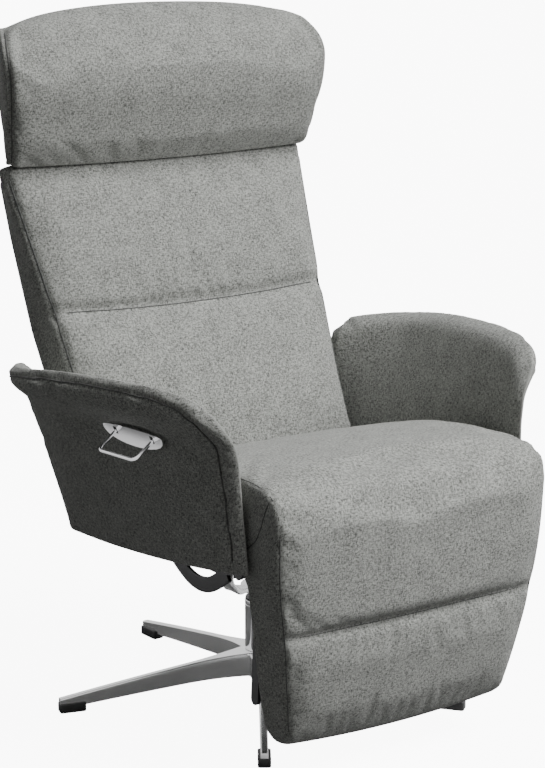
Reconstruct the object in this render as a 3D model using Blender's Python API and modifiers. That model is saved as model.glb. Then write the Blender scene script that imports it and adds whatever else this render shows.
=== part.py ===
"""Swivel recliner armchair with a built-in footrest and a tilting headrest.

Metres, +Z up. The origin is on the floor, on the swivel axis. The sitter faces -Y, so +X is the
sitter's left. Every moving group hangs from an empty that lies on its joint's axis.
"""

import bpy
import bmesh
from math import atan2, cos, pi, radians, sin, sqrt, tan
from mathutils import Matrix, Vector

# --- clearances ---------------------------------------------------------------------------------
GAP = 0.0003            # between pieces that touch
RUNNING = 0.0005        # radial play of a hole on its pivot tube
OPEN_PIVOT = 0.003      # radial play of the push rods' eyes, which a sliding rod needs
SIDE_PLAY = 0.0035      # sideways play between neighbouring linkage planes

# --- star base ----------------------------------------------------------------------------------
LEG_COUNT = 5
FIRST_LEG = radians(20.6)
FOOT_REACH = 0.340      # swivel axis to a leg's end face
HUB_TOP = 0.070
HUB_RADIUS = 0.036
HUB_PROUD = 0.0002      # the hub stands this far proud of the legs' roots
LEG_HUB_DEPTH = 0.040
LEG_HUB_WIDTH = 0.046
LEG_TIP_DEPTH = 0.018
LEG_TIP_WIDTH = 0.012
LEG_TIP_BOTTOM = 0.0055
LEG_SHARES = (0.0, 0.05, 0.11, 0.17, 0.23, 0.30, 0.50, 0.75, 1.0)
LEG_WAIST = 0.30        # share of its length over which a leg narrows from the hub
GLIDE_LENGTH = 0.043
GLIDE_SHOULDER = 0.0045
GLIDE_HEIGHT = 0.0155
GLIDE_EDGE = 0.0025
COLUMN_RADIUS = 0.027
COLUMN_WALL = 0.0025
COLUMN_TOP = 0.1545
BUSH_DEPTH = 0.030
BUSH_FLANGE = 0.0035
BUSH_RIM_SETBACK = 0.0008
SPINDLE_RADIUS = 0.0115
SPINDLE_FOOT = 0.085

# --- yoke and seat frame ------------------------------------------------------------------------
YOKE_HUB_RADIUS = 0.034
YOKE_HUB_BOTTOM = 0.1655
YOKE_HUB_HEIGHT = 0.016
YOKE_HALF_SPAN = 0.150  # middle plane of the yoke's raised arms
YOKE_BAR_WIDTH = 0.040
YOKE_BAR_THICKNESS = 0.010
YOKE_REACH = 0.120      # how far in front of the swivel axis the raised arms stand
YOKE_TAPER = 0.30       # share of its width that a yoke arm loses towards its top
# shares of the half span and of the reach, and the rise over the hub, at each bend of an arm
YOKE_BENDS = ((0.35, 0.36, 0.018), (0.68, 0.72, 0.040), (0.88, 0.94, 0.054),
              (0.973, 1.00, 0.068), (1.00, 1.04, 0.090))
TIE_ROD_RADIUS = 0.006
TIE_ROD_HEIGHT = 0.250
BAR_THICKNESS = 0.006   # flat steel bars of the seat frame and linkage
SUPPORT_HALF_DEPTH = 0.0125
SUPPORT_LOW = 0.2265    # middle line of the curved support bars at their lowest
# run behind the front end and rise over the lowest point, along a support bar's middle line
SUPPORT_SAG = ((0.0, 0.0155), (0.024, 0.0045), (0.052, 0.0), (0.079, 0.0045), (0.104, 0.0155),
               (0.134, 0.0335), (0.164, 0.0515))
RAIL_HALF_SPAN = 0.222  # middle plane of the seat rails
RAIL_HEIGHT = 0.308
RAIL_HALF_DEPTH = 0.014
CROSS_TUBE_RADIUS = 0.0075
CROSS_TUBE_HEIGHT = 0.3195
CROSS_TUBE_FRONT = -0.130
CROSS_TUBE_REAR = 0.088
PIVOT_TUBE_RADIUS = 0.009
EYE_WALL = 0.0065
SPRING_WIRE = 0.0018
SPRING_WAVES = 7
SPRING_SWING = 0.016
SEAT_SPRING_COUNT = 4
BACK_SPRING_COUNT = 3

# --- seat ---------------------------------------------------------------------------------------
SEAT_HALF_WIDTH = 0.243
SEAT_FRONT = -0.285
SEAT_REAR = 0.068
SEAT_TOP_FRONT = 0.460
SEAT_TOP_REAR = 0.384
SEAT_BOTTOM = 0.338
KNEE_FRONT = -0.408
KNEE_TOP = 0.458
EDGE_RADIUS = 0.022

# --- footrest -----------------------------------------------------------------------------------
FOOTREST_PIVOT = (-0.270, 0.320)
FOOTREST_SWING = radians(78)
FOOTREST_TOP = 0.292
FOOTREST_BOTTOM = 0.062
FOOTREST_TOP_HALF_WIDTH = 0.240
FOOTREST_BOTTOM_HALF_WIDTH = 0.202
FOOTREST_TOP_DEPTH = 0.085
FOOTREST_BOTTOM_DEPTH = 0.061
FOOTREST_RAKE = radians(4)
BOARD_THICKNESS = 0.012

# --- back and headrest --------------------------------------------------------------------------
BACK_PIVOT = (0.130, 0.345)
BACK_LEAN = radians(25.7)
BACK_SWING = radians(32)
BACK_LENGTH = 0.522
BACK_FACE_DEPTH = 0.065     # the cushion's face lies this far in front of the pivot
CUSHION_THICKNESS = 0.051
BACK_BOTTOM_HALF_WIDTH = 0.250
BACK_TOP_HALF_WIDTH = 0.280
SHELL_SETBACK = 0.018
SHELL_THICKNESS = 0.014
SHELL_HALF_WIDTH = 0.250
UPRIGHT_HALF_DEPTH = 0.0095
BACK_LEVER = 0.055
HEAD_PIVOT = (0.318, 0.849)
HEAD_SWING = radians(28)
HEAD_HALF_WIDTH = 0.300     # at the front face
HEAD_FOOT_TAPER = 0.016     # how much narrower it is at its foot and at its top
HEAD_TOP_TAPER = 0.048
HEAD_REAR_HALF_WIDTH = 0.262
HEAD_TOP = 1.097
HEAD_BOTTOM = 0.864
HEAD_LIP = 0.856            # the front of its underside hangs lower
HEAD_REAR = 0.364
HEAD_DEPTH = 0.121
HEAD_PIN_RADIUS = 0.005
HEAD_SHELL_THICKNESS = 0.0065
HEAD_SHELL_HALF_WIDTH = 0.234

# --- arms and release lever ---------------------------------------------------------------------
ARM_INNER = 0.2545
ARM_FRONT = -0.345
ARM_REAR = 0.192
ARM_TOP = 0.596
ARM_BOTTOM_FRONT = 0.330
ARM_BOTTOM_REAR = 0.288
ARM_THICKNESS = 0.024
ARM_ROLL = 0.016            # extra thickness of the rolled top
ARM_FRONT_FLARE = 0.064
ARM_REAR_FLARE = 0.120
ARM_REAR_DROP = 0.041       # how far the top line falls to the rear and to the front
ARM_FRONT_DROP = 0.022
ARM_ELBOW = 0.72            # share of the length where the flare is widest
ARM_CURL = 0.55             # share of the flare that is gone at the rear edge
ARM_STATIONS = 11
BRACKET_TOP = 0.400
BRACKET_THICKNESS = 0.005
BRACKET_WIDTH = 0.070
BRACKET_Y = -0.060
LEVER_Y = -0.142
LEVER_HEIGHT = 0.69         # share of the arm's height
PLATE_LENGTH = 0.142
PLATE_HEIGHT = 0.032
PLATE_THICKNESS = 0.0020
LOOP_WIDTH = 0.088
LOOP_REACH = 0.049
LOOP_RADIUS = 0.0028
LOOP_DROOP = radians(14)
LOOP_SWING = radians(28)
SLOT_PLAY = 0.0012
POCKET_DEPTH = 0.012
PIVOT_INSET = 0.0065        # the loop's pivot bar lies this far behind the arm's face
PLATE_STANDOFF = 0.001
FACE_OFFSET = 0.0025        # the lever's frame stands off the arm's curved face

# --- gas spring ---------------------------------------------------------------------------------
GAS_BODY_RADIUS = 0.011
GAS_ROD_RADIUS = 0.005
GAS_BODY_END = 0.030
GAS_BORE = 0.055        # depth of the bore that the rod slides in
GAS_ROD_INSIDE = 0.015  # how far the rod reaches into it at rest
GAS_ANCHOR_HALF_WIDTH = 0.020

COLOURS = {
    "cast_aluminium": ((0.80, 0.80, 0.81), 0.22, 1.0),
    "chrome": ((0.86, 0.86, 0.87), 0.08, 1.0),
    "black_steel": ((0.025, 0.025, 0.027), 0.42, 0.0),
    "spring_steel": ((0.30, 0.30, 0.31), 0.35, 1.0),
    "black_plastic": ((0.018, 0.018, 0.019), 0.50, 0.0),
    "bush_plastic": ((0.55, 0.54, 0.50), 0.45, 0.0),
    "plywood": ((0.62, 0.46, 0.30), 0.60, 0.0),
    "grey_wool": ((0.30, 0.305, 0.295), 0.92, 0.0),
}


# --- scene helpers ------------------------------------------------------------------------------
def clear_scene():
    for item in list(bpy.data.objects):
        bpy.data.objects.remove(item, do_unlink=True)


def new_collection(name):
    collection = bpy.data.collections.new(name)
    bpy.context.scene.collection.children.link(collection)
    return collection


def make_materials():
    made = {}
    for name, (colour, roughness, metallic) in COLOURS.items():
        material = bpy.data.materials.new(name)
        material.use_nodes = True
        shader = material.node_tree.nodes["Principled BSDF"]
        shader.inputs["Base Color"].default_value = (*colour, 1.0)
        shader.inputs["Roughness"].default_value = roughness
        shader.inputs["Metallic"].default_value = metallic
        made[name] = material
    return made


def add_object(name, data, material, parent, matrix=None):
    """Put a mesh or curve in the chair's collection, at world matrix, under its joint's empty."""
    item = bpy.data.objects.new(name, data)
    CHAIR.objects.link(item)
    data.materials.append(MATERIALS[material])
    item.parent = parent
    world = matrix if matrix is not None else Matrix.Identity(4)
    item.matrix_world = world
    if parent is not None:
        item.matrix_parent_inverse = parent.matrix_world.inverted()
        item.matrix_basis = world
    return item


def add_empty(name, place):
    item = bpy.data.objects.new(name, None)
    CHAIR.objects.link(item)
    item.matrix_world = Matrix.Translation(place)
    return item


def mesh_from(name, builder):
    """Run a builder on an empty bmesh and return the mesh, closed and facing outwards."""
    made = bmesh.new()
    builder(made)
    bmesh.ops.recalc_face_normals(made, faces=made.faces)
    mesh = bpy.data.meshes.new(name)
    made.to_mesh(mesh)
    made.free()
    return mesh


def smooth(item, angle=35):
    item.data.shade_smooth()
    item.data.set_sharp_from_angle(angle=radians(angle))
    return item


def box_mesh(name, size, bevel=0.0):
    def build(made):
        bmesh.ops.create_cube(made, size=1.0, matrix=Matrix.Diagonal((*size, 1.0)))
        if bevel:
            bmesh.ops.bevel(made, geom=made.edges[:], offset=bevel, segments=2, affect="EDGES")
    return mesh_from(name, build)


def rod(name, radius, start, end, material, parent, sides=20):
    """Solid round bar between two points."""
    start, end = Vector(start), Vector(end)
    along = end - start

    def build(made):
        bmesh.ops.create_cone(made, cap_ends=True, segments=sides, radius1=radius, radius2=radius,
                              depth=along.length)
    turn = along.to_track_quat("Z", "Y").to_matrix().to_4x4()
    mesh = mesh_from(name, build)
    return smooth(add_object(name, mesh, material, parent,
                             Matrix.Translation((start + end) / 2) @ turn))


def turned(name, profile, material, parent, steps=32):
    """Ring or sleeve turned about Z: profile runs top to bottom outside, then back up inside."""
    mesh = bpy.data.meshes.new(name)
    count = len(profile)
    edges = [(i, (i + 1) % count) for i in range(count)]
    mesh.from_pydata([(r, 0.0, z) for r, z in profile], edges, [])
    item = add_object(name, mesh, material, parent)
    screw = item.modifiers.new("turn", "SCREW")
    screw.steps = steps
    screw.render_steps = steps
    screw.use_merge_vertices = True
    screw.merge_threshold = 0.00001
    screw.use_smooth_shade = False
    return item


def loft_into(made, rings):
    """Skin closed rings of equal length, one after another, and cap both ends."""
    rows = [[made.verts.new(point) for point in ring] for ring in rings]
    count = len(rows[0])
    for low, high in zip(rows, rows[1:]):
        for i in range(count):
            j = (i + 1) % count
            made.faces.new((low[i], low[j], high[j], high[i]))
    made.faces.new(rows[0])
    made.faces.new(rows[-1])


def cutter(name, mesh, matrix):
    item = bpy.data.objects.new(name, mesh)
    CUTTERS.objects.link(item)
    item.matrix_world = matrix
    item.hide_render = True
    item.display_type = "WIRE"
    return item


def as_cutter(item):
    """Turn a finished mesh object into a cutter."""
    CHAIR.objects.unlink(item)
    CUTTERS.objects.link(item)
    item.hide_render = True
    item.display_type = "WIRE"
    return item


def boolean(item, other, operation):
    modifier = item.modifiers.new(operation.lower() + "_" + other.name, "BOOLEAN")
    modifier.operation = operation
    modifier.solver = "EXACT"
    modifier.object = other


# --- outlines -----------------------------------------------------------------------------------
def ribbon_outline(points, half_width, end_steps=8):
    """Outline of a flat bar that follows a polyline and has round ends."""
    path = [Vector(p) for p in points]
    left, right = [], []
    for i, here in enumerate(path):
        before = (here - path[i - 1]).normalized() if i else None
        after = (path[i + 1] - here).normalized() if i + 1 < len(path) else None
        along = (before or after) + (after or before)
        along.normalize()
        side = Vector((-along.y, along.x))
        reach = half_width / max(0.5, along.dot(after or before))
        left.append(here + side * reach)
        right.append(here - side * reach)

    def arc(centre, start):
        return [centre + Matrix.Rotation(-pi * k / end_steps, 2) @ start
                for k in range(1, end_steps)]

    tail = arc(path[-1], left[-1] - path[-1])
    nose = arc(path[0], right[0] - path[0])
    return left + tail + right[::-1] + nose


def circle_outline(centre, radius, sides=20):
    return [Vector((centre[0] + radius * cos(2 * pi * k / sides),
                    centre[1] + radius * sin(2 * pi * k / sides))) for k in range(sides)]


PLANES = {
    "X": Matrix(((0, 0, 1, 0), (1, 0, 0, 0), (0, 1, 0, 0), (0, 0, 0, 1))),
    "Y": Matrix(((1, 0, 0, 0), (0, 0, -1, 0), (0, 1, 0, 0), (0, 0, 0, 1))),
}


def plate(name, outline, thickness, place, material, parent, holes=(), plane="X", matrix=None):
    """Flat plate: an outline and its holes, extruded along the plane's normal."""
    curve = bpy.data.curves.new(name, "CURVE")
    curve.dimensions = "2D"
    curve.fill_mode = "BOTH"
    curve.extrude = thickness / 2
    for loop in (outline, *holes):
        spline = curve.splines.new("POLY")
        spline.points.add(len(loop) - 1)
        for point, (u, v) in zip(spline.points, loop):
            point.co = (u, v, 0.0, 1.0)
        spline.use_cyclic_u = True
    world = matrix if matrix is not None else Matrix.Translation(place) @ PLANES[plane]
    return add_object(name, curve, material, parent, world)


def wire(name, points, radius, material, parent, closed=False, resolution=1):
    """Round wire or tube along a list of points."""
    curve = bpy.data.curves.new(name, "CURVE")
    curve.dimensions = "3D"
    curve.bevel_depth = radius
    curve.bevel_resolution = resolution
    curve.use_fill_caps = not closed
    spline = curve.splines.new("POLY")
    spline.points.add(len(points) - 1)
    for point, place in zip(spline.points, points):
        point.co = (*place, 1.0)
    spline.use_cyclic_u = closed
    return add_object(name, curve, material, parent)


def cushion(name, outline, half_widths, radius, material, parent):
    """Soft block: a side outline carried across X, drawn in by the radius at both ends."""
    count = len(outline)
    corners = [Vector(p) for p in outline]
    inward = []
    for i, here in enumerate(corners):
        along = (corners[(i + 1) % count] - corners[i - 1]).normalized()
        inward.append(Vector((-along.y, along.x)))
    steps = [(0.0, 1.0), (0.3, 0.3), (1.0, 0.0)]

    def ring(side, out, inset):
        made = []
        for here, normal, half in zip(corners, inward, half_widths):
            point = here + normal * radius * inset
            made.append((side * (half - radius * out), point.x, point.y))
        return made

    def build(made):
        rings = [ring(-1, out, inset) for out, inset in steps]
        rings += [ring(1, out, inset) for out, inset in reversed(steps)]
        loft_into(made, rings)
        bmesh.ops.triangulate(made, faces=[f for f in made.faces if len(f.verts) > 4])
    return smooth(add_object(name, mesh_from(name, build), material, parent), 50)


def sinuous_spring(name, half_span, place_at, material, parent):
    """Zigzag spring wire across the chair: place_at turns (x, swing) into a point."""
    steps = SPRING_WAVES * 4
    points = []
    for k in range(steps + 1):
        share = k / steps
        taper = min(1.0, 6 * share, 6 * (1 - share))
        swing = SPRING_SWING * taper * sin(2 * pi * SPRING_WAVES * share)
        points.append(place_at(half_span * (2 * share - 1), swing))
    return wire(name, points, SPRING_WIRE, material, parent)


# --- base ---------------------------------------------------------------------------------------
def leg_section(share):
    """Reach, half width, bottom and top of a leg at a share of the way from hub to tip."""
    start = HUB_RADIUS * 0.5
    reach = start + (FOOT_REACH - start) * share
    width = LEG_TIP_WIDTH + (LEG_HUB_WIDTH - LEG_TIP_WIDTH) * max(0.0, 1 - share / LEG_WAIST) ** 2
    depth = LEG_HUB_DEPTH + (LEG_TIP_DEPTH - LEG_HUB_DEPTH) * share
    top = HUB_TOP + (LEG_TIP_BOTTOM + LEG_TIP_DEPTH - HUB_TOP) * share ** 1.15
    return reach, width / 2, top - depth, top


def leg_mesh(name):
    def build(made):
        rings = []
        for share in LEG_SHARES:
            reach, half, bottom, top = leg_section(share)
            rings.append([(reach, -half, bottom), (reach, half, bottom),
                          (reach, half, top), (reach, -half, top)])
        loft_into(made, rings)
    return mesh_from(name, build)


def make_star_base():
    """Cast five-legged star: a hub with one blade-shaped leg every fifth of a turn."""
    bottom = HUB_TOP - LEG_HUB_DEPTH

    def hub(made):
        bmesh.ops.create_cone(made, cap_ends=True, segments=40, radius1=HUB_RADIUS,
                              radius2=HUB_RADIUS, depth=LEG_HUB_DEPTH + 2 * HUB_PROUD,
                              matrix=Matrix.Translation((0, 0, bottom + LEG_HUB_DEPTH / 2)))
    star = add_object("star_base", mesh_from("star_base", hub), "cast_aluminium", None)
    blade = leg_mesh("leg_blade")
    for k in range(LEG_COUNT):
        turn = Matrix.Rotation(FIRST_LEG + 2 * pi * k / LEG_COUNT, 4, "Z")
        boolean(star, cutter(f"leg_blade_{k + 1}", blade, turn), "UNION")
    return star


def make_glides():
    """Plastic shoes pushed on the leg tips, each with a slot that the leg sits in."""
    width = LEG_TIP_WIDTH + 2 * GLIDE_SHOULDER
    shoe = box_mesh("glide", (GLIDE_LENGTH, width, GLIDE_HEIGHT), GLIDE_EDGE)
    _, _, inner_bottom, _ = leg_section(1 - GLIDE_LENGTH / FOOT_REACH)
    slope = atan2(inner_bottom - LEG_TIP_BOTTOM, GLIDE_LENGTH)
    cut_height = 3 * GLIDE_HEIGHT
    slot = box_mesh("glide_slot", (GLIDE_LENGTH * 3, LEG_TIP_WIDTH + 2 * GAP, cut_height))
    for k in range(LEG_COUNT):
        turn = Matrix.Rotation(FIRST_LEG + 2 * pi * k / LEG_COUNT, 4, "Z")
        middle = FOOT_REACH - GLIDE_LENGTH / 2 + 0.001
        place = turn @ Matrix.Translation((middle, 0, GLIDE_HEIGHT / 2))
        item = add_object(f"glide_{k + 1}", shoe.copy(), "black_plastic", None, place)
        low = LEG_TIP_BOTTOM - GAP
        tilt = (turn @ Matrix.Translation((FOOT_REACH, 0, low)) @ Matrix.Rotation(slope, 4, "Y")
                @ Matrix.Translation((0, 0, cut_height / 2)))
        boolean(item, cutter(f"glide_slot_{k + 1}", slot, tilt), "DIFFERENCE")


def make_column():
    inner = COLUMN_RADIUS - COLUMN_WALL
    foot = HUB_TOP + 2 * GAP
    turned("column_tube", [(COLUMN_RADIUS, COLUMN_TOP), (COLUMN_RADIUS, foot),
                           (inner, foot), (inner, COLUMN_TOP)], "chrome", None)
    body, bore = inner - GAP, SPINDLE_RADIUS + GAP
    rim = COLUMN_RADIUS - BUSH_RIM_SETBACK
    low, high = COLUMN_TOP + GAP, COLUMN_TOP + GAP + BUSH_FLANGE
    turned("column_bush", [(bore, high), (rim, high), (rim, low), (body, low),
                           (body, low - BUSH_DEPTH), (bore, low - BUSH_DEPTH)],
           "bush_plastic", None)


# --- yoke and seat frame ------------------------------------------------------------------------
def yoke_path(side):
    """Middle line of one yoke arm: out and forward from the hub, then up to the cross tube."""
    low = YOKE_HUB_BOTTOM + YOKE_HUB_HEIGHT / 2
    top = CROSS_TUBE_HEIGHT - CROSS_TUBE_RADIUS - GAP
    reach, span = YOKE_REACH, YOKE_HALF_SPAN
    path = [(0.0, 0.0, low)]
    for out, forward, rise in YOKE_BENDS:
        path.append((side * span * out, -reach * forward, low + rise))
    return path + [(side * span, CROSS_TUBE_FRONT, top)]


def yoke_arm_mesh(side):
    """Flat bar swept along the arm: it lies flat at the hub and stands upright at its top."""
    path = [Vector(p) for p in yoke_path(side)]

    def build(made):
        rings = []
        for i, here in enumerate(path):
            ahead = path[min(i + 1, len(path) - 1)] - path[max(i - 1, 0)]
            ahead.normalize()
            if i == len(path) - 1:
                ahead = Vector((0, 0, 1))
            wide = Vector((0, -1, 0)) if i > 2 else Vector((-side * 0.5, -0.8, 0)).normalized()
            wide = (wide - ahead * wide.dot(ahead)).normalized()
            thick = ahead.cross(wide).normalized()
            half_w = YOKE_BAR_WIDTH / 2 * (1 - YOKE_TAPER * i / (len(path) - 1))
            half_t = YOKE_BAR_THICKNESS / 2
            rings.append([here + wide * a * half_w + thick * b * half_t
                          for a, b in ((-1, -1), (1, -1), (1, 1), (-1, 1))])
        loft_into(made, rings)
    return mesh_from("yoke_arm", build)


def make_yoke():
    """Cast yoke on the spindle: a hub and two arms that rise to the front cross tube."""
    middle = YOKE_HUB_BOTTOM + YOKE_HUB_HEIGHT / 2

    def hub(made):
        bmesh.ops.create_cone(made, cap_ends=True, segments=32, radius1=YOKE_HUB_RADIUS * 0.8,
                              radius2=YOKE_HUB_RADIUS, depth=YOKE_HUB_HEIGHT,
                              matrix=Matrix.Translation((0, 0, middle)))
    yoke = add_object("yoke", mesh_from("yoke", hub), "cast_aluminium", SEAT)
    for side, word in ((-1, "right"), (1, "left")):
        arm = cutter(f"yoke_arm_{word}", yoke_arm_mesh(side), Matrix.Identity(4))
        boolean(yoke, arm, "UNION")
    rod("spindle", SPINDLE_RADIUS, (0, 0, SPINDLE_FOOT), (0, 0, YOKE_HUB_BOTTOM - GAP),
        "spring_steel", SEAT, 24)
    reach = YOKE_HALF_SPAN - YOKE_BAR_THICKNESS
    rod("yoke_tie_rod", TIE_ROD_RADIUS, (-reach, -YOKE_REACH, TIE_ROD_HEIGHT),
        (reach, -YOKE_REACH, TIE_ROD_HEIGHT), "black_steel", SEAT, 12)


def make_support_bars():
    """Curved flat bars from the yoke's arms back and up to the rear cross tube."""
    half = SUPPORT_HALF_DEPTH
    end = (CROSS_TUBE_REAR, CROSS_TUBE_HEIGHT - CROSS_TUBE_RADIUS - GAP - half)
    start = -YOKE_REACH + 0.006
    path = [(start + run, SUPPORT_LOW + rise) for run, rise in SUPPORT_SAG] + [end]
    plane = YOKE_HALF_SPAN + YOKE_BAR_THICKNESS / 2 + BAR_THICKNESS / 2 + GAP
    for side, word in ((-1, "right"), (1, "left")):
        plate(f"support_bar_{word}", ribbon_outline(path, half), BAR_THICKNESS,
              (side * plane, 0, 0), "black_steel", SEAT)


def make_seat_frame():
    """Side rails with the two pivot tubes and two cross tubes between them."""
    eye = PIVOT_TUBE_RADIUS + EYE_WALL
    path = [FOOTREST_PIVOT, (SEAT_FRONT + 0.065, RAIL_HEIGHT), (CROSS_TUBE_REAR, RAIL_HEIGHT),
            BACK_PIVOT]
    inside = RAIL_HALF_SPAN - BAR_THICKNESS / 2 - GAP
    for side, word in ((-1, "right"), (1, "left")):
        plate(f"seat_rail_{word}", ribbon_outline(path, min(eye, RAIL_HALF_DEPTH)), BAR_THICKNESS,
              (side * RAIL_HALF_SPAN, 0, 0), "black_steel", SEAT)
    tubes = (("footrest_pivot_tube", PIVOT_TUBE_RADIUS, FOOTREST_PIVOT),
             ("back_pivot_tube", PIVOT_TUBE_RADIUS, BACK_PIVOT),
             ("cross_tube_front", CROSS_TUBE_RADIUS, (CROSS_TUBE_FRONT, CROSS_TUBE_HEIGHT)),
             ("cross_tube_rear", CROSS_TUBE_RADIUS, (CROSS_TUBE_REAR, CROSS_TUBE_HEIGHT)))
    for name, radius, (y, z) in tubes:
        rod(name, radius, (-inside, y, z), (inside, y, z), "black_steel", SEAT)


def make_seat_springs():
    height = CROSS_TUBE_HEIGHT + CROSS_TUBE_RADIUS + SPRING_WIRE + GAP
    first, last = SEAT_FRONT + 0.075, SEAT_REAR - 0.030
    for k in range(SEAT_SPRING_COUNT):
        y = first + (last - first) * k / (SEAT_SPRING_COUNT - 1)
        sinuous_spring(f"seat_spring_{k + 1}", RAIL_HALF_SPAN,
                       lambda x, swing, y=y: (x, y + swing, height), "spring_steel", SEAT)


def make_seat_cushion():
    rise = SEAT_TOP_FRONT - SEAT_TOP_REAR
    span = SEAT_REAR - SEAT_FRONT
    top = [(SEAT_FRONT + span * t, SEAT_TOP_FRONT - rise * t ** 1.6) for t in (0, 0.3, 0.6, 0.93)]
    outline = [(SEAT_FRONT, SEAT_BOTTOM), (SEAT_REAR - 0.01, SEAT_BOTTOM),
               (SEAT_REAR, SEAT_BOTTOM + 0.02), (SEAT_REAR, SEAT_TOP_REAR - 0.015)]
    outline += top[::-1]
    cushion("seat_cushion", outline, [SEAT_HALF_WIDTH] * len(outline), EDGE_RADIUS * 0.7,
            "grey_wool", SEAT)


# --- arms ---------------------------------------------------------------------------------------
def arm_point(along, up):
    """Point of the arm's inner face at a share of its length and of its height.

    Both end edges lean and round over at the top. The flare grows from the front to the elbow,
    and behind it the wing curls back in towards the backrest.
    """
    round_front = 1 - sqrt(max(0.0, 1 - up ** 4))
    round_rear = 1 - sqrt(max(0.0, 1 - up ** 6))
    front = ARM_FRONT + 0.012 * up + 0.075 * round_front
    rear = ARM_REAR - 0.055 * (1 - up) ** 1.5 - 0.035 * round_rear
    y = front + (rear - front) * along
    bottom = ARM_BOTTOM_REAR + (ARM_BOTTOM_FRONT - ARM_BOTTOM_REAR) * (1 - along) ** 2
    top = ARM_TOP - ARM_REAR_DROP * (max(0.0, along - 0.45) / 0.55) ** 2
    top -= ARM_FRONT_DROP * (max(0.0, 0.38 - along) / 0.38) ** 1.5
    z = bottom + (top - bottom) * up
    share = along ** 0.7
    curl = 1 - ARM_CURL * (max(0.0, along - ARM_ELBOW) / (1 - ARM_ELBOW)) ** 2
    flare = (1 - share) * ARM_FRONT_FLARE * max(0.0, (up - 0.55) / 0.45) ** 2
    flare += share * curl * ARM_REAR_FLARE * up ** 1.6
    return Vector((ARM_INNER + flare, y, z))


def arm_ring(along):
    """Closed section of the arm: up the inner face, over the roll and down the outer face."""
    inner = [arm_point(along, up) for up in (0.04, 0.2, 0.4, 0.58, 0.72, 0.84, 0.93, 0.985)]
    ends = min(1.0, 8 * along, 8 * (1 - along))
    ends = 0.45 + 0.55 * sin(pi / 2 * ends)
    outer = []
    for up in (0.995, 0.97, 0.90, 0.80, 0.68, 0.52, 0.34, 0.16, 0.02):
        roll = ARM_ROLL * max(0.0, 1 - abs(up - 0.95) / 0.25)
        out = (ARM_THICKNESS + roll) * ends
        drop = 0.010 * max(0.0, 1 - abs(up - 0.97) / 0.1)
        outer.append(arm_point(along, up) + Vector((out, 0, -drop)))
    middle = (inner[-1] + outer[0]) / 2 + Vector((0, 0, 0.006))
    return inner + [middle] + outer


def lever_frame():
    """Place and axes of the release lever on the right arm: forward, up its face, and outwards."""
    along = (LEVER_Y - ARM_FRONT) / (ARM_REAR - ARM_FRONT)
    span, rise = 0.17, 0.04

    def outer(a, up):
        point = arm_point(a, up) + Vector((ARM_THICKNESS, 0, 0))
        return Vector((-point.x, point.y, point.z))
    here = outer(along, LEVER_HEIGHT)
    length = (outer(along - span, LEVER_HEIGHT) - outer(along + span, LEVER_HEIGHT)).normalized()
    up = outer(along, LEVER_HEIGHT + rise) - outer(along, LEVER_HEIGHT - rise)
    up = (up - length * up.dot(length)).normalized()
    out = length.cross(up)
    frame = Matrix((length, up, out)).transposed().to_4x4()
    frame.translation = here + out * FACE_OFFSET
    return frame


def slot_span():
    """Low and high edge of the slots that the loop's legs swing in, up the plate's face."""
    depth = PIVOT_INSET + PLATE_STANDOFF + PLATE_THICKNESS
    low = -depth * tan(LOOP_DROOP) - LOOP_RADIUS / cos(LOOP_DROOP) - SLOT_PLAY
    raised = LOOP_DROOP - LOOP_SWING
    high = -PIVOT_INSET * tan(raised) + LOOP_RADIUS / cos(raised) + SLOT_PLAY
    return low, high


def make_arms():
    """Upholstered wings: thin foam bodies that flare outwards and end in a rolled top edge."""
    for side, word in ((-1, "right"), (1, "left")):
        def build(made, side=side):
            rings = []
            for k in range(ARM_STATIONS):
                along = (1 - cos(pi * k / (ARM_STATIONS - 1))) / 2
                rings.append([(side * p.x, p.y, p.z) for p in arm_ring(along)])
            loft_into(made, rings)
            bmesh.ops.triangulate(made, faces=made.faces)
        arm = add_object(f"arm_{word}", mesh_from(f"arm_{word}", build), "grey_wool", SEAT)
        if side < 0:
            low, high = slot_span()
            size = (LOOP_WIDTH + 0.018, high - low + 0.003, POCKET_DEPTH * 2)
            pocket = cutter("lever_pocket", box_mesh("lever_pocket", size),
                            lever_frame() @ Matrix.Translation((0, (low + high) / 2, -FACE_OFFSET)))
            boolean(arm, pocket, "DIFFERENCE")
        smooth(arm, 50)


def make_arm_brackets():
    """Steel angles that carry the arms: screwed to a rail and standing along the arm's face."""
    near = RAIL_HALF_SPAN + BAR_THICKNESS / 2 + GAP
    far = ARM_INNER - GAP
    low, high, thick = RAIL_HEIGHT - RAIL_HALF_DEPTH, BRACKET_TOP, BRACKET_THICKNESS
    for side, word in ((-1, "right"), (1, "left")):
        outline = [(near, low), (far, low), (far, high), (far - thick, high),
                   (far - thick, low + thick), (near, low + thick)]
        outline = [(side * u, v) for u, v in outline]
        plate(f"arm_bracket_{word}", outline, BRACKET_WIDTH, (0, BRACKET_Y, 0), "black_steel",
              SEAT, plane="Y")


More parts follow.
